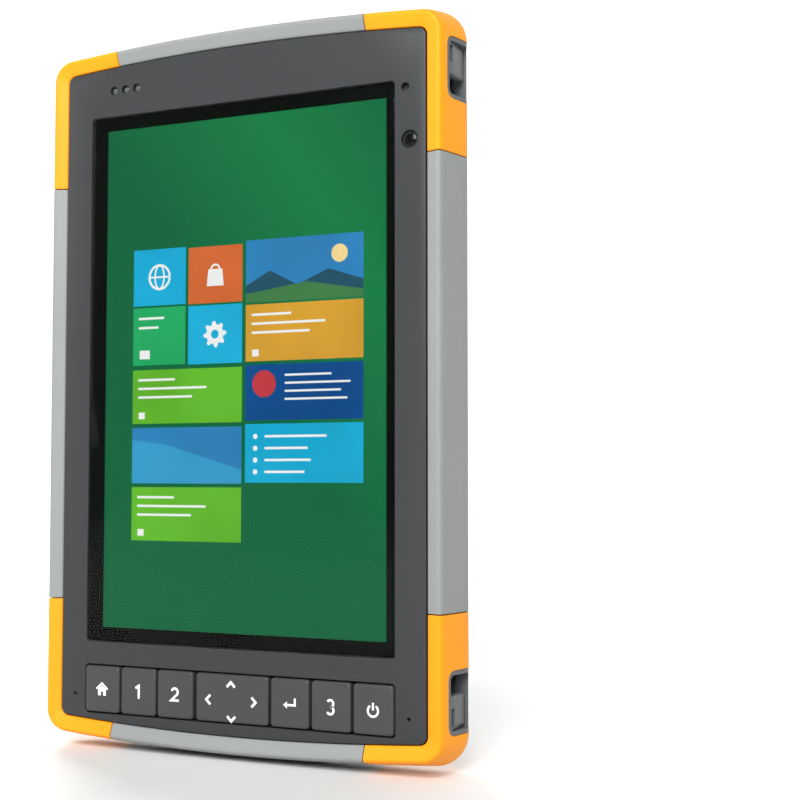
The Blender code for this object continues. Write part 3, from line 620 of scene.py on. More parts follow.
def make_display():
    """A black panel, a printed border and the picture's flat shapes, all under the cover glass."""
    names = ["mask", "wallpaper", "white"]
    PAINT["wallpaper"] = wallpaper()
    PAINT["white"] = lit("picture_white", "E9EDEA", 0.02)
    for name, colour in PICTURE_COLOURS:
        PAINT[name] = lit(f"picture_{name}", colour)
        names.append(name)
    glass = middle("touch_glass")
    panel = prism(rounded(glass, half("lcd_panel"), 1.0), PICTURE_DEPTH + 0.1, BEZEL_BACK)
    screen = rounded(SCREEN_CENTRE, SCREEN_HALF, 0.1, 1)
    mesh = painted(prism(screen, PICTURE_DEPTH, PICTURE_DEPTH + 0.15), names.index("wallpaper"), panel)
    for number, (left, right, bottom, top, colour, kind) in enumerate(TILES):
        name = f"tile_{number}"
        PAINT[name] = lit(f"picture_{name}", colour, 0.1)
        names.append(name)
        tile = [(left, bottom), (right, bottom), (right, top), (left, top)]
        painted(prism(tile, PICTURE_DEPTH - 0.02, PICTURE_DEPTH + 0.05), names.index(name), mesh)
        white, coloured = tile_symbol(kind, left, right, bottom, top)
        shapes = [(outline, paint, 0.05 + 0.01 * i) for i, (outline, paint) in enumerate(coloured)]
        shapes += [(outline, "white", 0.04) for outline in white]
        shapes += [(outline, paint, 0.06) for outline, paint in coloured if kind == "gear"]
        for outline, paint, rise in shapes:
            painted(prism(outline, PICTURE_DEPTH - rise, PICTURE_DEPTH), names.index(paint), mesh)
    piece("display_panel", mesh, names, "case", "lcd_panel")
    rim = rounded(glass, half("touch_glass"), 1.0)
    border = tube(rim, rounded(SCREEN_CENTRE, SCREEN_HALF, 0.1), 1.47, 1.55)
    piece("display_border", border, "mask", "case")


def key_symbols(name):
    """The white outlines on a key, about its middle."""
    if name == "home":
        return [[(-2.2, 0.2), (0.0, 2.1), (2.2, 0.2), (1.8, -0.2), (0.0, 1.35), (-1.8, -0.2)],
                [(-1.4, -1.9), (-0.45, -1.9), (-0.45, -0.7), (0.45, -0.7), (0.45, -1.9), (1.4, -1.9),
                 (1.4, 0.0), (0.0, 1.1), (-1.4, 0.0)]]
    if name == "p1":
        return [stroke([(-0.85, 1.05), (0.3, 1.75), (0.3, -2.0)], 0.72)]
    if name == "p2":
        return [stroke([*arc((0.0, 0.75), 1.05, 165, -38, 12), (-1.15, -1.65), (1.45, -1.65)], 0.68)]
    if name == "p3":
        bowls = (arc((-0.1, 0.85), 0.95, 150, -90), arc((-0.1, -1.02), 1.05, 90, -150))
        return [stroke(bowl, 0.66) for bowl in bowls]
    if name == "enter":
        return [stroke([(1.75, 1.5), (1.75, -0.45), (-0.9, -0.45)], 0.62),
                [(-1.95, -0.45), (-0.75, 0.55), (-0.75, -1.45)]]
    if name == "power":
        return [stroke(arc((0, -0.25), 1.55, 55, -235, 24), 0.6), stroke([(0, 1.95), (0, -0.1)], 0.62)]
    symbols = []
    for quarter, (x, h) in enumerate(((-0.2, 4.0), (-7.7, -0.6), (0.0, -5.6), (7.3, -0.5))):
        turn = math.pi / 2 * quarter
        symbols.append(stroke([(x + a * math.cos(turn) - b * math.sin(turn),
                                h + a * math.sin(turn) + b * math.cos(turn))
                               for a, b in ((-1.35, -0.65), (0.0, 0.7), (1.35, -0.65))], 0.72))
    return symbols


def make_keys():
    for name in ("home", "p1", "p2", "dpad", "enter", "p3", "power"):
        node = f"key_{name}"
        centre, (half_width, half_height) = middle(node), half(node)
        front, back = span(node)[1]
        layers = []
        for inset, sink in ((1.1, 0.0), (0.55, 0.03), (0.22, 0.15), (0.05, 0.38), (0.0, 0.62)):
            face = (half_width - inset, half_height - inset)
            layers.append((rounded(centre, face, max(0.25, 0.95 - 0.6 * inset), 5), front + sink))
        layers.append((rounded(centre, (half_width, half_height), 0.95, 5), back))
        cap = stack(layers)
        for outline in key_symbols(name):
            painted(prism(shifted(outline, centre), front - 0.03, front + 0.1), 1, cap)
        piece(f"{name}_cap", cap, ("key", "symbol"), node, node, sharp=40)


def make_front_fittings():
    bar = prism(rounded(middle("status_lights"), (5.6, 1.7), 0.8), 2.7, 3.9)
    pipes = [turned(place, [(0.6, 0.75), (0.95, 0.95), (1.05, 3.0)], 24) for place in light_places()]
    piece("light_pipes", together(bar, *pipes), "smoke", "case", "status_lights")
    place = middle("front_camera")
    barrel = turned(place, [(2.3, 0.9), (2.3, 3.0), (1.2, 3.0), (1.2, 1.6), (1.9, 0.9)], ring_shaped=True)
    window = turned(place, [(0.2, 0.75), (1.0, 0.82), (1.7, 1.05), (1.7, 1.4)])
    module = prism(rounded(place, (2.4, 3.2), 0.4), 2.9, 4.7)
    mesh = painted(window, 1, together(barrel, module))
    piece("front_camera_module", mesh, ("black", "lens"), "case", "front_camera")


# Back

def crown_fall(inset):
    return (CASE_BACK - CASE_SHOULDER) * (1 - min(inset, CROWN_WIDTH) / CROWN_WIDTH) ** CROWN_POWER


def crown_depth(inset, lower=0.0):
    """The depth of the back's surface at that distance in from its edge."""
    return CASE_BACK - crown_fall(inset) - lower


def sloping(inset, lower):
    """The outline of the back's surface at that distance in from its edge, and its depth."""
    return core(inset, CORE_CORNER + 0.6 * inset), crown_depth(inset, lower)


def crown(lower=0.0):
    """The body of the back with its sloping edges, its surface sunk by the given distance."""
    layers = [(core(), CASE_FRONT), (core(), LIP_DEPTH - lower), (core(LIP_INSET), LIP_DEPTH + 0.02 - lower),
              (core(LIP_INSET), CASE_SHOULDER + 0.45 - lower)]
    insets = (LIP_INSET + 0.1, LIP_INSET + 0.4, 2.8, 4.2, 5.8, 7.5, 9.3, 11.2, 13.2, 15.4, 17.6, CROWN_WIDTH)
    return stack(layers + [sloping(inset, lower) for inset in insets])


def bulge_outline(grow=0.0):
    side_points = [5.0 * i for i in range(8, -9, -1)]
    return bowed(BULGE_HALF[0] + grow, BULGE_HALF[1] + grow, BULGE_CORNER + grow, BULGE_ARC + grow,
                 BULGE_CENTRE, (12, 12), side_points)


def bulge(lower=0.0):
    """The battery's raised back: sides that draw in at the middle, up to a ridge round a dished top."""
    outline = bulge_outline(-lower)
    ridge = []
    for x, h in outline:
        across, up = (x - BULGE_CENTRE[0]) / BULGE_HALF[0], h / BULGE_HALF[1]
        half_width = RIDGE_HALF[0] - RIDGE_WAIST * (1 - up**2)
        ridge.append((RIDGE_CENTRE[0] + across * half_width, RIDGE_CENTRE[1] + up * RIDGE_HALF[1]))
    layers = [(outline, CASE_FRONT + 6)]
    for i in range(13):
        part = i / 12
        loop = [(x + part * (rx - x), h + part * (rh - h)) for (x, h), (rx, rh) in zip(outline, ridge)]
        rise = 0.8 * (1 - (1 - part) ** 2.2) + 0.2 * part
        layers.append((loop, CASE_BACK + (BULGE_TOP - CASE_BACK) * rise - lower))
    for inward in (0.5, 1.2, 2.0, 3.0, 4.0, 5.0, DISH_REACH, 16.0):
        shrink = (1 - inward / RIDGE_HALF[0], 1 - inward / RIDGE_HALF[1])
        loop = [(RIDGE_CENTRE[0] + (x - RIDGE_CENTRE[0]) * shrink[0],
                 RIDGE_CENTRE[1] + (h - RIDGE_CENTRE[1]) * shrink[1]) for x, h in ridge]
        part = min(1.0, inward / DISH_REACH)
        layers.append((loop, BULGE_TOP - DISH * part * part * (3 - 2 * part) - lower))
    return stack(layers)


def inside(outline, x, h):
    """Whether a point lies in an outline, by counting the edges to its right."""
    crossings = 0
    for (x0, h0), (x1, h1) in zip(outline, outline[1:] + outline[:1]):
        if (h0 > h) != (h1 > h) and x < x0 + (h - h0) / (h1 - h0) * (x1 - x0):
            crossings += 1
    return crossings % 2 == 1


def repaint_bulge(made):
    outline = bulge_outline(-0.05)
    repaint(made, 1, lambda x, depth, h: depth > CASE_BACK - 1.2 and inside(outline, x, h))


def outline_groove():
    return tube(bulge_outline(0.42), bulge_outline(-0.02), CASE_BACK - 0.5, BEHIND)


def cover_pocket():
    """What the door and the panel take out of the case: the space above the sunk crown."""
    beside = (-SIDE_CLEAR, PANEL_EDGE_X)
    space = block(beside, (CASE_FRONT + 1, BEHIND), (-DOOR_HALF_HEIGHT, DOOR_HALF_HEIGHT))
    return cut(space, crown(COVER_WALL + GAP))


def cavity():
    """The hollow of the case over the main board."""
    layers = [(core(2.2, 1.6), CASE_FRONT - 1), (core(2.2, 1.6), CASE_SHOULDER - CASE_WALL)]
    return stack(layers + [sloping(inset, CASE_WALL) for inset in (6.0, 12.0, CROWN_WIDTH)])


def sunk(outline, depth=0.3):
    """A tool that takes a recess of even depth out of the back's surface."""
    return cut(prism(outline, CASE_SHOULDER - 2, BEHIND), crown(depth))


LABEL = (  # the printed panel's outline under the bulge, as (x, height, rounding)
    (27.7, -61.0, 1.2), (19.8, -61.8, 6), (11.9, -62.8, 6), (2.9, -63.5, 6), (-6.1, -63.6, 6),
    (-15.3, -62.9, 6), (-24.6, -61.6, 6), (-35.6, -60.3, 1.4), (-34.9, -72.0, 6), (-33.9, -87.3, 1.6),
    (-27.2, -89.2, 2.0), (-24.0, -94.2, 2.0), (-23.8, -98.6, 1.4), (-2.1, -99.0, 6), (21.9, -98.5, 1.6),
    (23.5, -90.2, 1.2), (25.4, -88.2, 1.2), (34.2, -86.6, 1.8), (34.0, -71.8, 1.0), (27.7, -67.6, 1.5),
)
STRIP_X, STRIP_HALF_HEIGHT = (-57.2, -39.2), 43.6


def label_outline():
    points = [Vector((x, h, 0)) for x, h, _ in LABEL]
    return [(p.x, p.y) for p in softened(points, [r for _, _, r in LABEL])]


def back_bores():
    """The case's round holes: cameras, inserts, screws, sockets and the power jack."""
    camera = [(4.1, 12), (4.1, 19.6), (6.5, 19.6), (8.0, 25.6), (8.0, 30)]
    bores = at_each(INSERTS, [(3.2, 20.0), (3.2, 26.3), (4.3, 26.5), (4.5, 30)])
    bores += [turned(place, [(2.4, 18.5), (2.4, 30)], 24) for place in SOCKETS]
    bores.append(turned(middle("rear_camera"), camera, 48))
    bores.append(turned(middle("flash_lens"), [(2.0, 12), (2.0, 20.2), (3.6, 20.2), (3.8, 30)]))
    bores.append(turned(middle("power_jack"), [(3.5, 12), (3.5, 30)]))
    bores += at_each(SIDE_SCREWS, [(1.35, 12), (1.35, 16.9), (2.1, 16.9), (2.1, 30)], 24)
    bores += at_each(PANEL_SCREWS, [(1.35, 17.6), (1.35, 30)], 12)
    return together(*bores)


def make_rear_case():
    body = cut(add(crown(), bulge()), cavity())
    inner = [prism(rounded(BAY_CENTRE, (BAY_HALF[0] + 2.6, BAY_HALF[1] + 2.4), 2.0), CASE_FRONT, 24.0)]
    inner += at_each(INSERTS, [(4.6, 18.6), (4.6, 25.0)], 20)
    inner.append(block((31.8, 57.6), (16.4, 23.2), (-28.8, 18.0)))
    inner.append(block((29.0, 40.0), (16.6, 19.3), (-97.4, -88.0)))
    inner.append(common(turned(middle("rear_camera"), [(9.0, 17.9), (9.0, 26.0)]), crown(1.0)))
    inner.append(common(turned(middle("flash_lens"), [(4.9, 17.4), (4.9, 26.0)], 20), crown(1.0)))
    ears = at_each(SIDE_SCREWS, [(3.0, CASE_FRONT), (3.0, CASE_SHOULDER), (2.7, CASE_SHOULDER + 0.35)])
    body = add(body, *inner, together(*ears))
    groove = [rounded(BAY_CENTRE, (BAY_HALF[0] + out, BAY_HALF[1] + out), 2.5) for out in (0.6, 2.0)]
    latch_x, spring_end = middle("latch_slider")[0], span("latch_spring")[2][0] - 2 * GAP
    latch_room = [block((latch_x - 7.2, latch_x + 6.2), (18.6, 30), (spring_end, 15.9)),
                  block((DOOR_SEAM_X - 1.8, latch_x - 6.8), (21.0, 30), (2.5, 13.4)),
                  block((44.4, 55.8), (12, 30), (30.4, 46.0))]
    scallops = at_each(SIDE_SCREWS, [(3.0, CASE_SHOULDER + 0.1), (3.9, 22.0)])
    bay = prism(rounded(BAY_CENTRE, BAY_HALF, 2.0), BAY_FLOOR, BEHIND)
    body = cut(body, together(*scallops), cover_pocket(), bay, tube(*groove, 23.2, 30), back_bores(),
               *latch_room, port_channel(), outline_groove(), sunk(label_outline(), 0.4))
    made = piece("rear_shell", body, ("case", "bulge", "black", "panel"), "case", "rear_case")
    repaint_bulge(made)
    recess = label_outline()
    repaint(made, 3, lambda x, depth, h: h < BULGE_CENTRE[1] and inside(recess, x, h))
    # Painted shade: the walls of the sockets, side screw wells, camera and flash recesses, insert
    # counterbores and the port channel get the black material, standing in for the shade inside these hollows
    # of the grey case.
    dark = [(place, 2.6) for place in SOCKETS] + [(middle(node), 2.3) for node in SIDE_SCREWS]
    dark += [(middle("rear_camera"), 7.75), (middle("flash_lens"), 3.7)]
    dark += [(middle(node), 3.3) for node in INSERTS]

    def in_painted_shade(x, depth, h):
        if depth > surface_depth(x, h) - 0.5:
            return False
        in_channel = abs(x - JACK_X) < CHANNEL_HALF + 0.02 and h < PORT_PATH[0][0] - 0.1
        return in_channel or any(math.dist((x, h), place) < reach for place, reach in dark)

    repaint(made, 2, in_painted_shade)


def cover_space(left, right):
    """The room between those two places across the back, for the door or the panel."""
    height = DOOR_HALF_HEIGHT - DOOR_GAP
    return block((left, right), (CASE_FRONT + 1, BEHIND), (-height, height))


def door_solid():
    body = common(add(crown(), bulge()), cover_space(-SIDE_CLEAR, DOOR_SEAM_X - GAP / 2))
    return cut(body, add(crown(COVER_WALL), bulge(COVER_WALL)))


def make_battery_door():
    ear_room = at_each(["case_screw_left_2", "case_screw_left_3"], [(SCREW_ROOM, 12), (SCREW_ROOM, 30)])
    strip = rounded((sum(STRIP_X) / 2, 0.2), ((STRIP_X[1] - STRIP_X[0]) / 2, STRIP_HALF_HEIGHT), 1.6)
    body = cut(door_solid(), together(*ear_room), outline_groove(), sunk(strip, 0.35))
    made = piece("battery_door", body, ("case", "bulge", "panel"), "battery", "battery_cover")
    repaint(made, 2, lambda x, depth, h: depth > CASE_SHOULDER + 0.2 and inside(strip, x, h))
    repaint_bulge(made)


def screw_seat(x):
    return crown_depth(CORE_HALF[0] - abs(x), 0.9)


def grille():
    """The speaker's holes, in rows of two and three by turns."""
    x, h = 50.6, 38.3
    holes = []
    for row in range(11):
        for column in ((-0.5, 0.5) if row % 2 == 0 else (-1.0, 0.0, 1.0)):
            holes.append(turned((x + 3.05 * column, h + 1.24 * (5 - row)), [(0.55, 12), (0.55, BEHIND)], 12))
    return together(*holes)


def make_service_panel():
    panel = cut(common(crown(), cover_space(DOOR_SEAM_X + GAP / 2, PANEL_EDGE_X - GAP)), crown(COVER_WALL))
    slot = prism(rounded((LATCH_X, 0.1), (5.5, 14.2), 5.4, 12), 12, BEHIND)
    bores = at_each(PANEL_SCREWS, [(1.5, 12), (1.5, BEHIND)], 16)
    seats = []
    for node in PANEL_SCREWS:
        radius = half(node)[0] + 0.35
        seats.append(turned(middle(node), [(radius, screw_seat(middle(node)[0])), (radius, BEHIND)]))
    body = cut(panel, slot, grille(), together(*bores), together(*seats))
    piece("service_cover", body, "case", "case", "service_panel")


def make_latch():
    (x0, x1), _, (_, top) = span("latch_slider")
    x = LATCH_X
    grip_top, grip_length, half_width = 13.8, 20.4, 4.85
    centre = (x, grip_top - grip_length / 2)
    grip = stack([(rounded(centre, (half_width - c, grip_length / 2 - c), 4.7 - c, 12), d)
                  for c, d in ((0, 21.5), (0, 25.0), (0.15, 25.3), (0.5, 25.55), (1.1, 25.6))])
    ridges = []
    for i in range(5):
        loop = arc((25.75, centre[1] + 1.9 * i - 3.8), 0.55, 0, 345, 12)
        ridges.append(sideways([(loop, x - 2.6), (loop, x + 2.6)]))
    grip = cut(grip, together(*ridges))
    plate = block((x0 + 6.3, x1), (19.6, 21.8), (-7.6, top))
    skirt = block((x - 5.0, x + 5.0), (22.9, 23.5), (-14.5, -5.5))
    bolt = block((x0, x - 6.0), (21.2, 21.8), (9.9, 12.9))
    piece("latch_grip", together(grip, plate, skirt, bolt), "case", "latch", "latch_slider")


def make_spring(turns=6.5, steps=20):
    """The latch's coil spring, which shortens as the latch is pulled."""
    (x0, x1), (d0, d1), (h0, h1) = span("latch_spring")
    wire, centre = 0.3, ((x0 + x1) / 2, (d0 + d1) / 2)
    radius, rise = (x1 - x0) / 2 - wire, h1 - h0 - 2 * wire
    rings = []
    for i in range(int(turns * steps) + 1):
        turn = 2 * math.pi * i / steps
        out = Vector((math.cos(turn), math.sin(turn), 0))
        middle_point = at(*centre, h0 + wire + rise * i / (turns * steps)) + out * radius * MM
        rings.append([middle_point + (out * math.cos(a) + Vector((0, 0, 1)) * math.sin(a)) * wire * MM
                      for a in [2 * math.pi * k / 12 for k in range(12)]])
    made = piece("latch_coil", loft(rings), "steel", "case", "latch_spring")
    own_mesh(made)


def make_back_fittings():
    place = middle("rear_camera")
    window = [(6.1, 19.9), (6.1, 20.15), (5.95, 20.3), (3.4, 20.3), (3.2, 20.1), (0.3, 20.05)]
    ring = turned(place, [(3.6, 20.36), (3.3, 20.36), (3.3, 20.2), (3.6, 20.2)], 48, ring_shaped=True)
    piece("camera_window", painted(ring, 1, turned(place, window, 48)), ("lens", "flap"), "case",
          "rear_camera_window")
    flash = middle("flash_lens")
    lens = [(3.3, 20.5), (3.3, 22.1), (3.1, 22.4), (2.6, 22.5), (2.3, 22.3), (2.2, 21.9), (2.1, 21.9),
            (1.9, 22.05), (1.2, 22.2), (0.3, 22.25)]
    made = piece("flash_window", turned(flash, lens), ("ring", "smoke"), "case", "flash_lens")
    repaint(made, 1, lambda x, depth, h: math.dist((x, h), flash) < 2.15)
    section = [(2.4, 20.4), (2.9, 20.9), (2.9, 26.75), (2.7, 27.05), (1.75, 27.1), (1.4, 26.8)]
    thread = [(1.3 + 0.14 * (i % 2), 20.4 + 0.35 * i) for i in range(18)]
    for node in INSERTS:
        place = middle(node)
        ring = turned(place, section + thread[::-1], 40, ring_shaped=True)
        # Painted shade: the bore of each insert, below its rim, gets the black material for the shade deep
        # inside it.
        made = piece(f"{node}_ring", ring, ("brass", "black"), "case", node)
        repaint(made, 1, lambda x, depth, h: depth < 26.6 and math.dist((x, h), place) < 1.6)
    cup = [(3.1, 14.2), (3.1, 19.4), (2.9, 19.6), (2.4, 19.6), (2.3, 19.4), (2.3, 15.6), (0.8, 15.6),
           (0.8, 18.2), (0.4, 18.6)]
    piece("power_socket", turned(middle("power_jack"), cup), "black", "case", "power_jack")


def make_screw(node, head, top, length):
    """A screw with a domed head and a six-lobed socket, its shank towards the display."""
    place, shank = middle(node), 1.1
    section = [(shank * 0.7, top - length), (shank, top - length + 0.5), (shank, top - 1.3),
               (head, top - 1.3), (head, top - 0.45), (head - 0.12, top - 0.2), (head - 0.4, top - 0.04),
               (head * 0.6, top)]
    lobes = []
    for i in range(36):
        angle = 2 * math.pi * i / 36
        reach = head * (0.44 + 0.07 * math.cos(6 * angle))
        lobes.append((place[0] + reach * math.cos(angle), place[1] + reach * math.sin(angle)))
    body = cut(turned(place, section), prism(lobes, top - 0.8, top + 1))
    piece(f"{node}_head", body, "screw", "case", node)


def make_screws():
    for node in PANEL_SCREWS:
        make_screw(node, half(node)[0], screw_seat(middle(node)[0]) + 1.6, 4.6)
    for node in SIDE_SCREWS:
        make_screw(node, half(node)[0], span(node)[1][1], 11.2)
    for node in TOP_SCREWS:
        make_screw(node, half(node)[0], span(node)[1][1], 7.4)


# Bumpers

def ring_line(inside, corner):
    """The numbers of one line along the bumper ring."""
    out = CREST - inside
    half_width, half_height, bow = CORE_HALF[0] + out, CORE_HALF[1] + out, END_ARC + out
    side = half_width - corner
    bow_centre = half_height - bow
    corner_height = bow_centre + math.sqrt((bow - corner) ** 2 - side**2)
    lean = math.asin(side / (bow - corner))
    return half_width, side, corner_height, bow, bow_centre, lean


def on_ring(inside, corner, part, t):
    """(x, height) on the ring's upper right quarter: on its end, its corner or its side."""
    half_width, side, corner_height, bow, bow_centre, lean = ring_line(inside, corner)
    if part == "corner":
        angle = lean + (math.pi / 2 - lean) * t
        place = side + corner * math.sin(angle), corner_height + corner * math.cos(angle)
    elif part in ("end", "to corner"):
        x = t if part == "end" else SEAM_X + 1 + (bow * math.sin(lean) - SEAM_X - 1) * t
        place = x, bow_centre + math.sqrt(bow**2 - x**2)
    else:
        place = half_width, t if part == "side" else corner_height + (SEAM_HEIGHT + 1 - corner_height) * t
    return place[0], min(place[1], TOP)


def ring_section():
    points = [Vector((inside, depth, corner)) for inside, depth, corner, _ in RING_SECTION]
    return softened(points, [reach for *_, reach in RING_SECTION], 3)


def rounded_ends(loops, radius=0.2):
    """Adds a rounded edge at the first and last loops, which are flat."""
    out = []
    for loop, inward in ((loops[0], loops[1]), (loops[-1], loops[-2])):
        centre = sum(loop, Vector()) / len(loop)
        along = sum(((p - q) for p, q in zip(loop, inward)), Vector()).normalized()
        area = sum(((loop[i - 1] - centre).cross(p - centre) for i, p in enumerate(loop)), Vector())
        turn = 1 if area.dot(along) > 0 else -1
        caps = []
        for angle in (0, 22.5, 45, 67.5, 90):
            inward_by = radius * MM * (1 - math.cos(math.radians(angle)))
            back_by = radius * MM * (1 - math.sin(math.radians(angle)))
            cap = []
            for i, p in enumerate(loop):
                tangent = (loop[(i + 1) % len(loop)] - loop[i - 1]).normalized()
                cap.append(p + along.cross(tangent) * turn * inward_by - along * back_by)
            caps.append(cap)
        out.append(caps)
    return out[0][::-1] + loops[1:-1] + out[1]


def ring_piece(stations, side=1, end=1):
    section = ring_section()
    loops = []
    for part, t in stations:
        places = [(on_ring(inside, corner, part, t), depth) for inside, depth, corner in section]
        loops.append([at(side * x, depth, end * h) for (x, h), depth in places])
    return loft(rounded_ends(loops))


def even_stations(part, reach, steps):
    """Stations along a straight or bowed stretch, with one more just inside each end."""
    inner = [i / steps for i in range(1 - steps, steps)]
    places = [-reach, STATION_IN - reach] + [reach * share for share in inner] + [reach - STATION_IN, reach]
    return [(part, place) for place in places]


def lug_outline(end, grow=0.0):
    """The strap lug's outline in (depth, height), its ends swapped for a lug at the bottom."""
    _, (d0, d1), (h0, h1) = span("strap_lug_top_left")
    points = [(d0, h0, -1, -1), (d0, h1, -1, 1), (d1, h1, 1, 1), (d1, h0, 1, -1)]
    spread = [Vector((d + grow * back, end * (h + grow * up), 0)) for d, h, back, up in points]
    return [(p.x, p.y) for p in softened(spread, [3.0 + grow, 3.0 + grow, 2.0 + grow, 2.0 + grow], 6)]


def make_bumpers():
    rooms = together(*at_each(SIDE_SCREWS, [(SCREW_ROOM, 4), (SCREW_ROOM, 30)]))
    seam = GAP / 2
    round_corner = [("end", SEAM_X + seam), ("end", SEAM_X + STATION_IN)]
    round_corner += [("to corner", i / 4) for i in range(4)]
    round_corner += [("corner", i / 14) for i in range(15)] + [("from corner", i / 6) for i in range(1, 7)]
    round_corner += [("side", SEAM_HEIGHT + STATION_IN), ("side", SEAM_HEIGHT + seam)]
    along_end = even_stations("end", SEAM_X - seam, 16)
    along_side = even_stations("side", SEAM_HEIGHT - seam, 10)
    for end_name, end in (("bottom", -1), ("top", 1)):
        for side_name, side in (("left", -1), ("right", 1)):
            room = lug_outline(end, 0.12)
            pocket = sideways([(room, side * 59.5), (room, side * 90)])
            body = cut(ring_piece(round_corner, side, end), pocket, rooms)
            piece(f"corner_guard_{end_name}_{side_name}", body, "orange", "case",
                  f"corner_bumper_{end_name}_{side_name}")
            make_lug(side_name, end_name, side, end)
    for side_name, side in (("left", -1), ("right", 1)):
        piece(f"edge_guard_{side_name}", cut(ring_piece(along_side, side), rooms), "grey", "case",
              f"edge_bumper_{side_name}")
    bottom = cut(ring_piece(along_end, 1, -1), port_channel())
    made = piece("edge_guard_bottom", bottom, ("grey", "black"), "case", "edge_bumper_bottom")
    # Painted shade: the bumper's faces in the port channel get the black material for the shade in the
    # channel.
    repaint(made, 1, lambda x, depth, h: depth > 13.5 and abs(x - JACK_X) < CHANNEL_HALF + 0.02)
    heads = [middle(node) for node in TOP_SCREWS]
    slots = [block((x - 2.65, x + 2.65), (4.9, 13.0), (97.0, h + 1.65)) for x, h in heads]
    bores = at_each(TOP_SCREWS, [(1.5, 12), (1.5, 13.2), (2.2, 13.2), (2.2, 30)])
    top = cut(ring_piece(along_end), together(*slots), together(*bores))
    made = piece("edge_guard_top", top, ("grey", "black"), "case", "edge_bumper_top")
    # Painted shade: the walls round the top screws' heads get the black material for the shade in their
    # bores.
    repaint(made, 1, lambda x, depth, h: depth > 13 and any(math.dist((x, h), head) < 2.3 for head in heads))


def make_lug(side_name, end_name, side, end):
    """A walled pocket in the corner, with a slotted bridge over its outer half."""
    layers = []
    for inside, depth, corner, _ in RING_SECTION[5:13]:
        out = CREST - inside - 0.2
        layers.append((bowed(CORE_HALF[0] + out, CORE_HALF[1] + out, corner, END_ARC, steps=(10, 14)), depth))
    solid_ring = stack(layers)
    back = 61.0
    shell = sideways([(lug_outline(end), side * back), (lug_outline(end), side * 90)])
    inner = lug_outline(end, -1.2)
    hollow = sideways([(lug_outline(end, -2.0), side * (back + 1.3)), (inner, side * (back + 2.0)),
                       (inner, side * 90)])
    body = cut(common(shell, solid_ring), hollow)
    bridge_layers = []
    for x, inset in ((64.3, 0.0), (65.4, 0.0), (65.9, 0.35), (66.3, 0.9), (66.55, 1.8)):
        half_size = (5.4 - inset, 4.8 - 0.625 * inset)
        loop = rounded((8.3, 89.8 - 0.375 * inset), half_size, 0.7, 4)
        bridge_layers.append(([(d, end * h) for d, h in loop], side * x))
    slot = [(d, end * h) for d, h in rounded((4.6, 90.9), (0.9, 2.5), 0.6, 5)]
    bridge = cut(sideways(bridge_layers), sideways([(slot, side * 60), (slot, side * 80)]))
    ramp_outline = ((61.5, 79.2), (64.4, 79.2), (62.6, 84.6), (61.5, 84.6))
    ramp = prism([(side * x, end * h) for x, h in ramp_outline], 3.2, 13.4)
    piece(f"lug_{end_name}_{side_name}", add(body, ramp, common(bridge, solid_ring)), "lug", "case",
          f"strap_lug_{end_name}_{side_name}")


# Power port

PORT_PATH = (  # height, depth of the surface and half width, from the tab's top to the foot's end
    (-90.2, 23.9, 4.7), (-94.5, 22.4, 4.3), (-98.6, 20.4, 3.4), (-100.6, 19.8, 1.7), (-102.8, 19.2, 2.4),
    (-104.9, 16.2, 4.0), (-105.4, 15.4, 4.0),
)
PIVOT_ROOM = 4
PORT_RIBS = ((1, 2, 3.3, 0.45), (3, 5, 2.9, 0.5), (6, 8, 2.2, 0.5))  # first and last place, half width, rise


CHANNEL_HALF = 5.0


def port_places(path):
    """Each place of a path in (depth, height), with the directions along it and out of the case."""
    for i, point in enumerate(path):
        along = (path[min(i + 1, len(path) - 1)] - path[max(i - 1, 0)]).to_2d().normalized()
        yield point.to_2d(), along, Vector((-along.y, along.x))


def port_ring(place, out, section):
    """A section across the port cover, from (x, rise) pairs."""
    return [at(JACK_X + x, *(place + out * rise)) for x, rise in section]


def port_channel():
    """The straight channel the port cover lies in, over the case's lower edge."""
    room, last = 0.35, len(PORT_PATH) - 1
    low, high = -room - 1.0, 4.0
    section = [(-CHANNEL_HALF, low), (CHANNEL_HALF, low), (CHANNEL_HALF, high), (-CHANNEL_HALF, high)]
    rings = []
    for i, (place, along, out) in enumerate(port_places([Vector((d, h)) for h, d, _ in PORT_PATH])):
        past = -room if i == 0 else PIVOT_ROOM * room * (i == last)
        rings.append(port_ring(place + along * past, out, section))
    return loft(rings)


def make_port_cover():
    """A tab and its strap, rounded along their edges, with a rim round the tab."""
    path = softened([Vector((d, h, w)) for h, d, w in PORT_PATH], [9] * len(PORT_PATH), 4, closed=False)
    places = list(port_places(path))
    rings = []
    for (place, _, out), (*_, wide) in zip(places, path):
        edge = [(wide, -0.9), (wide, 0.15), (wide - 0.15, 0.4), (wide - 0.45, 0.5), (wide - 0.9, 0.42),
                (wide - 1.2, 0.15)]
        rings.append(port_ring(place, out, edge + [(-x, rise) for x, rise in reversed(edge)]))
    flap = loft(rings)
    for first, last, wide, rise in PORT_RIBS:
        section = ((-wide, -0.2), (wide, -0.2), (wide - 0.25, rise), (-wide + 0.25, rise))
        painted(loft([port_ring(place, out, section) for place, _, out in places[first:last + 1]]), 0, flap)
    piece("port_flap", flap, "flap", "port_cover", "port_cover")


# Print on the back

def surface_depth(x, h):
    """The depth of the crown's surface."""
    end = CORE_HALF[1] - END_ARC + math.sqrt(END_ARC**2 - x**2)
    return crown_depth(max(0.0, min(CORE_HALF[0] - abs(x), end - abs(h))))


def lying(outline, sink, rise):
    """A thin solid laid on the crown's surface, sunk into it and standing above it by those distances."""
    return loft([[at(x, surface_depth(x, h) + level, h) for x, h in outline] for level in (-sink, rise)])


MARKS_X = (24.8, 16.8, 7.9, -0.3, -7.6, -14.6, -22.2)
STICKER_CENTRE, STICKER_HALF = (0.0, -90.2), (9.5, 4.1)


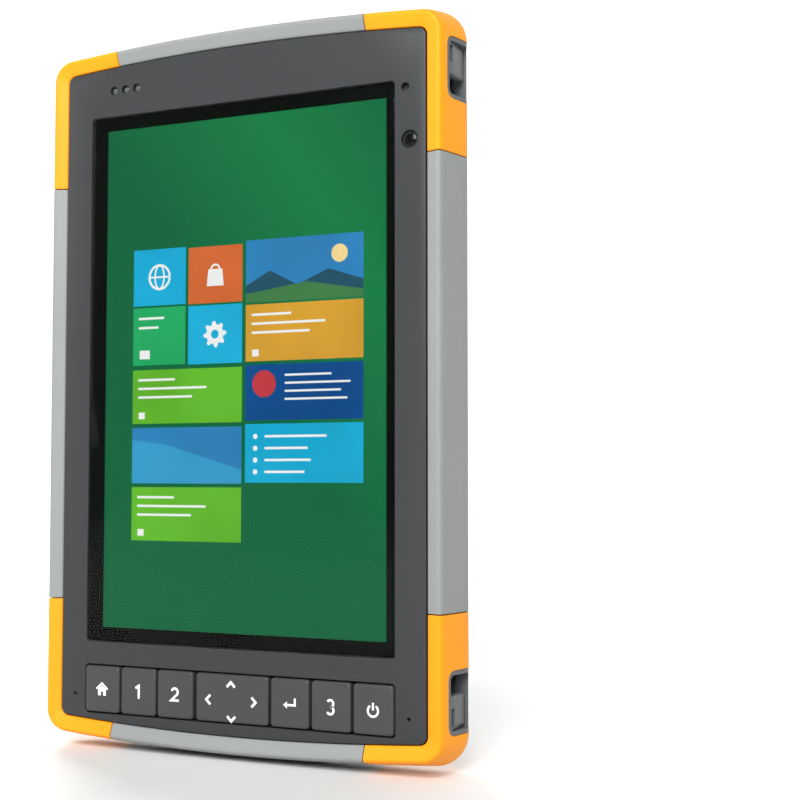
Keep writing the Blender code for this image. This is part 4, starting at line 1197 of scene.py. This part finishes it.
def make_print():
    """A blank rating panel: plain frames and bars in place of its marks, and a sticker of bars."""
    mesh = bmesh.new()
    for x in MARKS_X:
        outline = rounded((x - 2.6, -72.1), (2.4, 2.3), 0.7, 3)
        inner = rounded((x - 2.6, -72.1), (1.8, 1.7), 0.4, 3)
        rings = [[at(a, surface_depth(a, h) - 0.4 + level, h) for a, h in loop]
                 for loop, level in ((outline, 0.0), (outline, 0.06), (inner, 0.06), (inner, 0.0))]
        painted(loft(rings, ring_shaped=True), 0, mesh)
    for left, right in ((12.2, 6.9), (4.4, -1.4), (-3.4, -13.4)):
        painted(lying([(right, -80.1), (left, -80.1), (left, -78.9), (right, -78.9)], 0.4, -0.34), 0, mesh)
    piece("rating_print", mesh, "print", "case")
    mesh = bmesh.new()
    for i in range(7):
        h = -14.6 + 4.6 * i
        painted(lying(rounded((-44.6, h), (1.9, 1.6), 0.5, 3), 0.38, -0.3), 0, mesh)
    for i in range(12):
        h = -19.0 + 3.3 * i
        painted(lying(rounded((-50.4, h), (0.5, 1.25), 0.3, 3), 0.38, -0.3), 0, mesh)
    piece("strip_print", mesh, "print", "battery")
    x, h = STICKER_CENTRE
    sticker = lying(rounded(STICKER_CENTRE, STICKER_HALF, 0.4, 3), 0.45, -0.3)
    offset = -7.6
    for width in (0.5, 0.9, 0.4, 0.7, 1.2, 0.4, 0.5, 1.0, 0.6, 0.4, 0.9, 0.5, 1.1, 0.4):
        bar = [(x + offset + a, h + b) for a, b in ((0, -2.2), (width, -2.2), (width, 2.2), (0, 2.2))]
        painted(lying(bar, 0.4, -0.12), 1, sticker)
        offset += width + 0.42
    piece("asset_sticker", sticker, ("label", "black"), "case")


def repaint_cad():
    """Materials for the CAD nodes that show as they are, when the door is off or from inside."""
    paints = {"mid_frame": "metal", "main_board": "board", "keypad_board": "rubber", "main_seal": "rubber",
              "battery_seal": "rubber", "battery_contacts": "brass", "battery_cells": "cells",
              "dpad_pivot": "steel", "rear_camera": "black", "speaker": "black"}
    for node, paint in paints.items():
        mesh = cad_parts[node].data
        mesh.materials.clear()
        mesh.materials.append(PAINT[paint])


# Studio

def make_studio():
    bend = [math.pi / 2 * i / 16 for i in range(1, 17)]
    profile = [(-1.6, 0.0), (0.9, 0.0)] + [(0.9 + 0.8 * math.sin(a), 0.8 - 0.8 * math.cos(a)) for a in bend]
    profile.append((1.7, 2.6))
    mesh = bmesh.new()
    rows = [[mesh.verts.new((x, y, z)) for y, z in profile] for x in (-3.0, 3.0)]
    for i in range(len(profile) - 1):
        mesh.faces.new((rows[0][i], rows[0][i + 1], rows[1][i + 1], rows[1][i]))
    bmesh.ops.recalc_face_normals(mesh, faces=mesh.faces)
    data = bpy.data.meshes.new("floor")
    mesh.to_mesh(data)
    data.shade_smooth()
    floor = placed("floor", data)
    made, tree, shader = new_material("pale_floor")
    place = tree.nodes.new("ShaderNodeTexCoord")
    parts = tree.nodes.new("ShaderNodeSeparateXYZ")
    tree.links.new(place.outputs["Object"], parts.inputs["Vector"])
    # Painted light: the floor and backdrop glow, not at all up to 0.1 m behind the middle and rising to 0.62
    # by 0.7 m, so the backdrop looks white while the floor round the device gets none of this glow.
    strength = to_range(tree, parts.outputs["Y"], 0.0, 0.62, 0.1, 0.7)
    tree.links.new(strength, shader.inputs["Emission Strength"])
    grain = to_range(tree, noise(tree, 60.0, Detail=2.0), 0, 1)
    colour = blend_colours(tree, linear("DCDCDB"), linear("E2E2E1"), grain)
    tree.links.new(colour, shader.inputs["Base Color"])
    set_inputs(shader, Emission_Color=(1, 1, 1, 1), Roughness=0.6)
    data.materials.append(made)
    world = bpy.data.worlds.new("studio")
    bpy.context.scene.world = world
    world.use_nodes = True
    set_inputs(world.node_tree.nodes["Background"], Color=(1, 1, 1, 1), Strength=0.28)
    softbox("left_light", (-1.5, -0.75, 0.6), 0.8, 5)
    softbox("front_light", (0.35, -1.3, 0.95), 0.8, 36)
    softbox("back_light", (-0.9, 0.85, 1.0), 0.7, 16)


def softbox(name, place, size, power):
    light = bpy.data.lights.new(name, "AREA")
    light.shape, light.size, light.energy = "SQUARE", size, power
    made = placed(name, light)
    made.location = place
    aim = Vector((0, 0, 0.11)) - Vector(place)
    made.rotation_euler = aim.to_track_quat("-Z", "Y").to_euler()


def make_camera():
    camera = bpy.data.cameras.new("camera")
    camera.sensor_width, camera.lens = 36.0, 62.73
    made = placed("camera", camera)
    place = (0.21056, FACE_Y - 0.34687, 0.08222)
    forward, up = Vector((-0.41369, 0.90886, 0.05313)), Vector((0.0222, -0.0483, 0.9986))
    columns = (forward.cross(up), up, -forward, place)
    made.matrix_world = Matrix((*([column[i] for column in columns] for i in range(3)), (0, 0, 0, 1)))
    bpy.context.scene.camera = made


for make in (make_bezel, make_glass, make_display, make_keys, make_front_fittings, make_rear_case,
             make_battery_door, make_service_panel, make_latch, make_spring, make_back_fittings,
             make_screws, make_bumpers, make_port_cover, make_print, repaint_cad, make_studio, make_camera):
    make()
bpy.context.scene.view_settings.view_transform = "Standard"
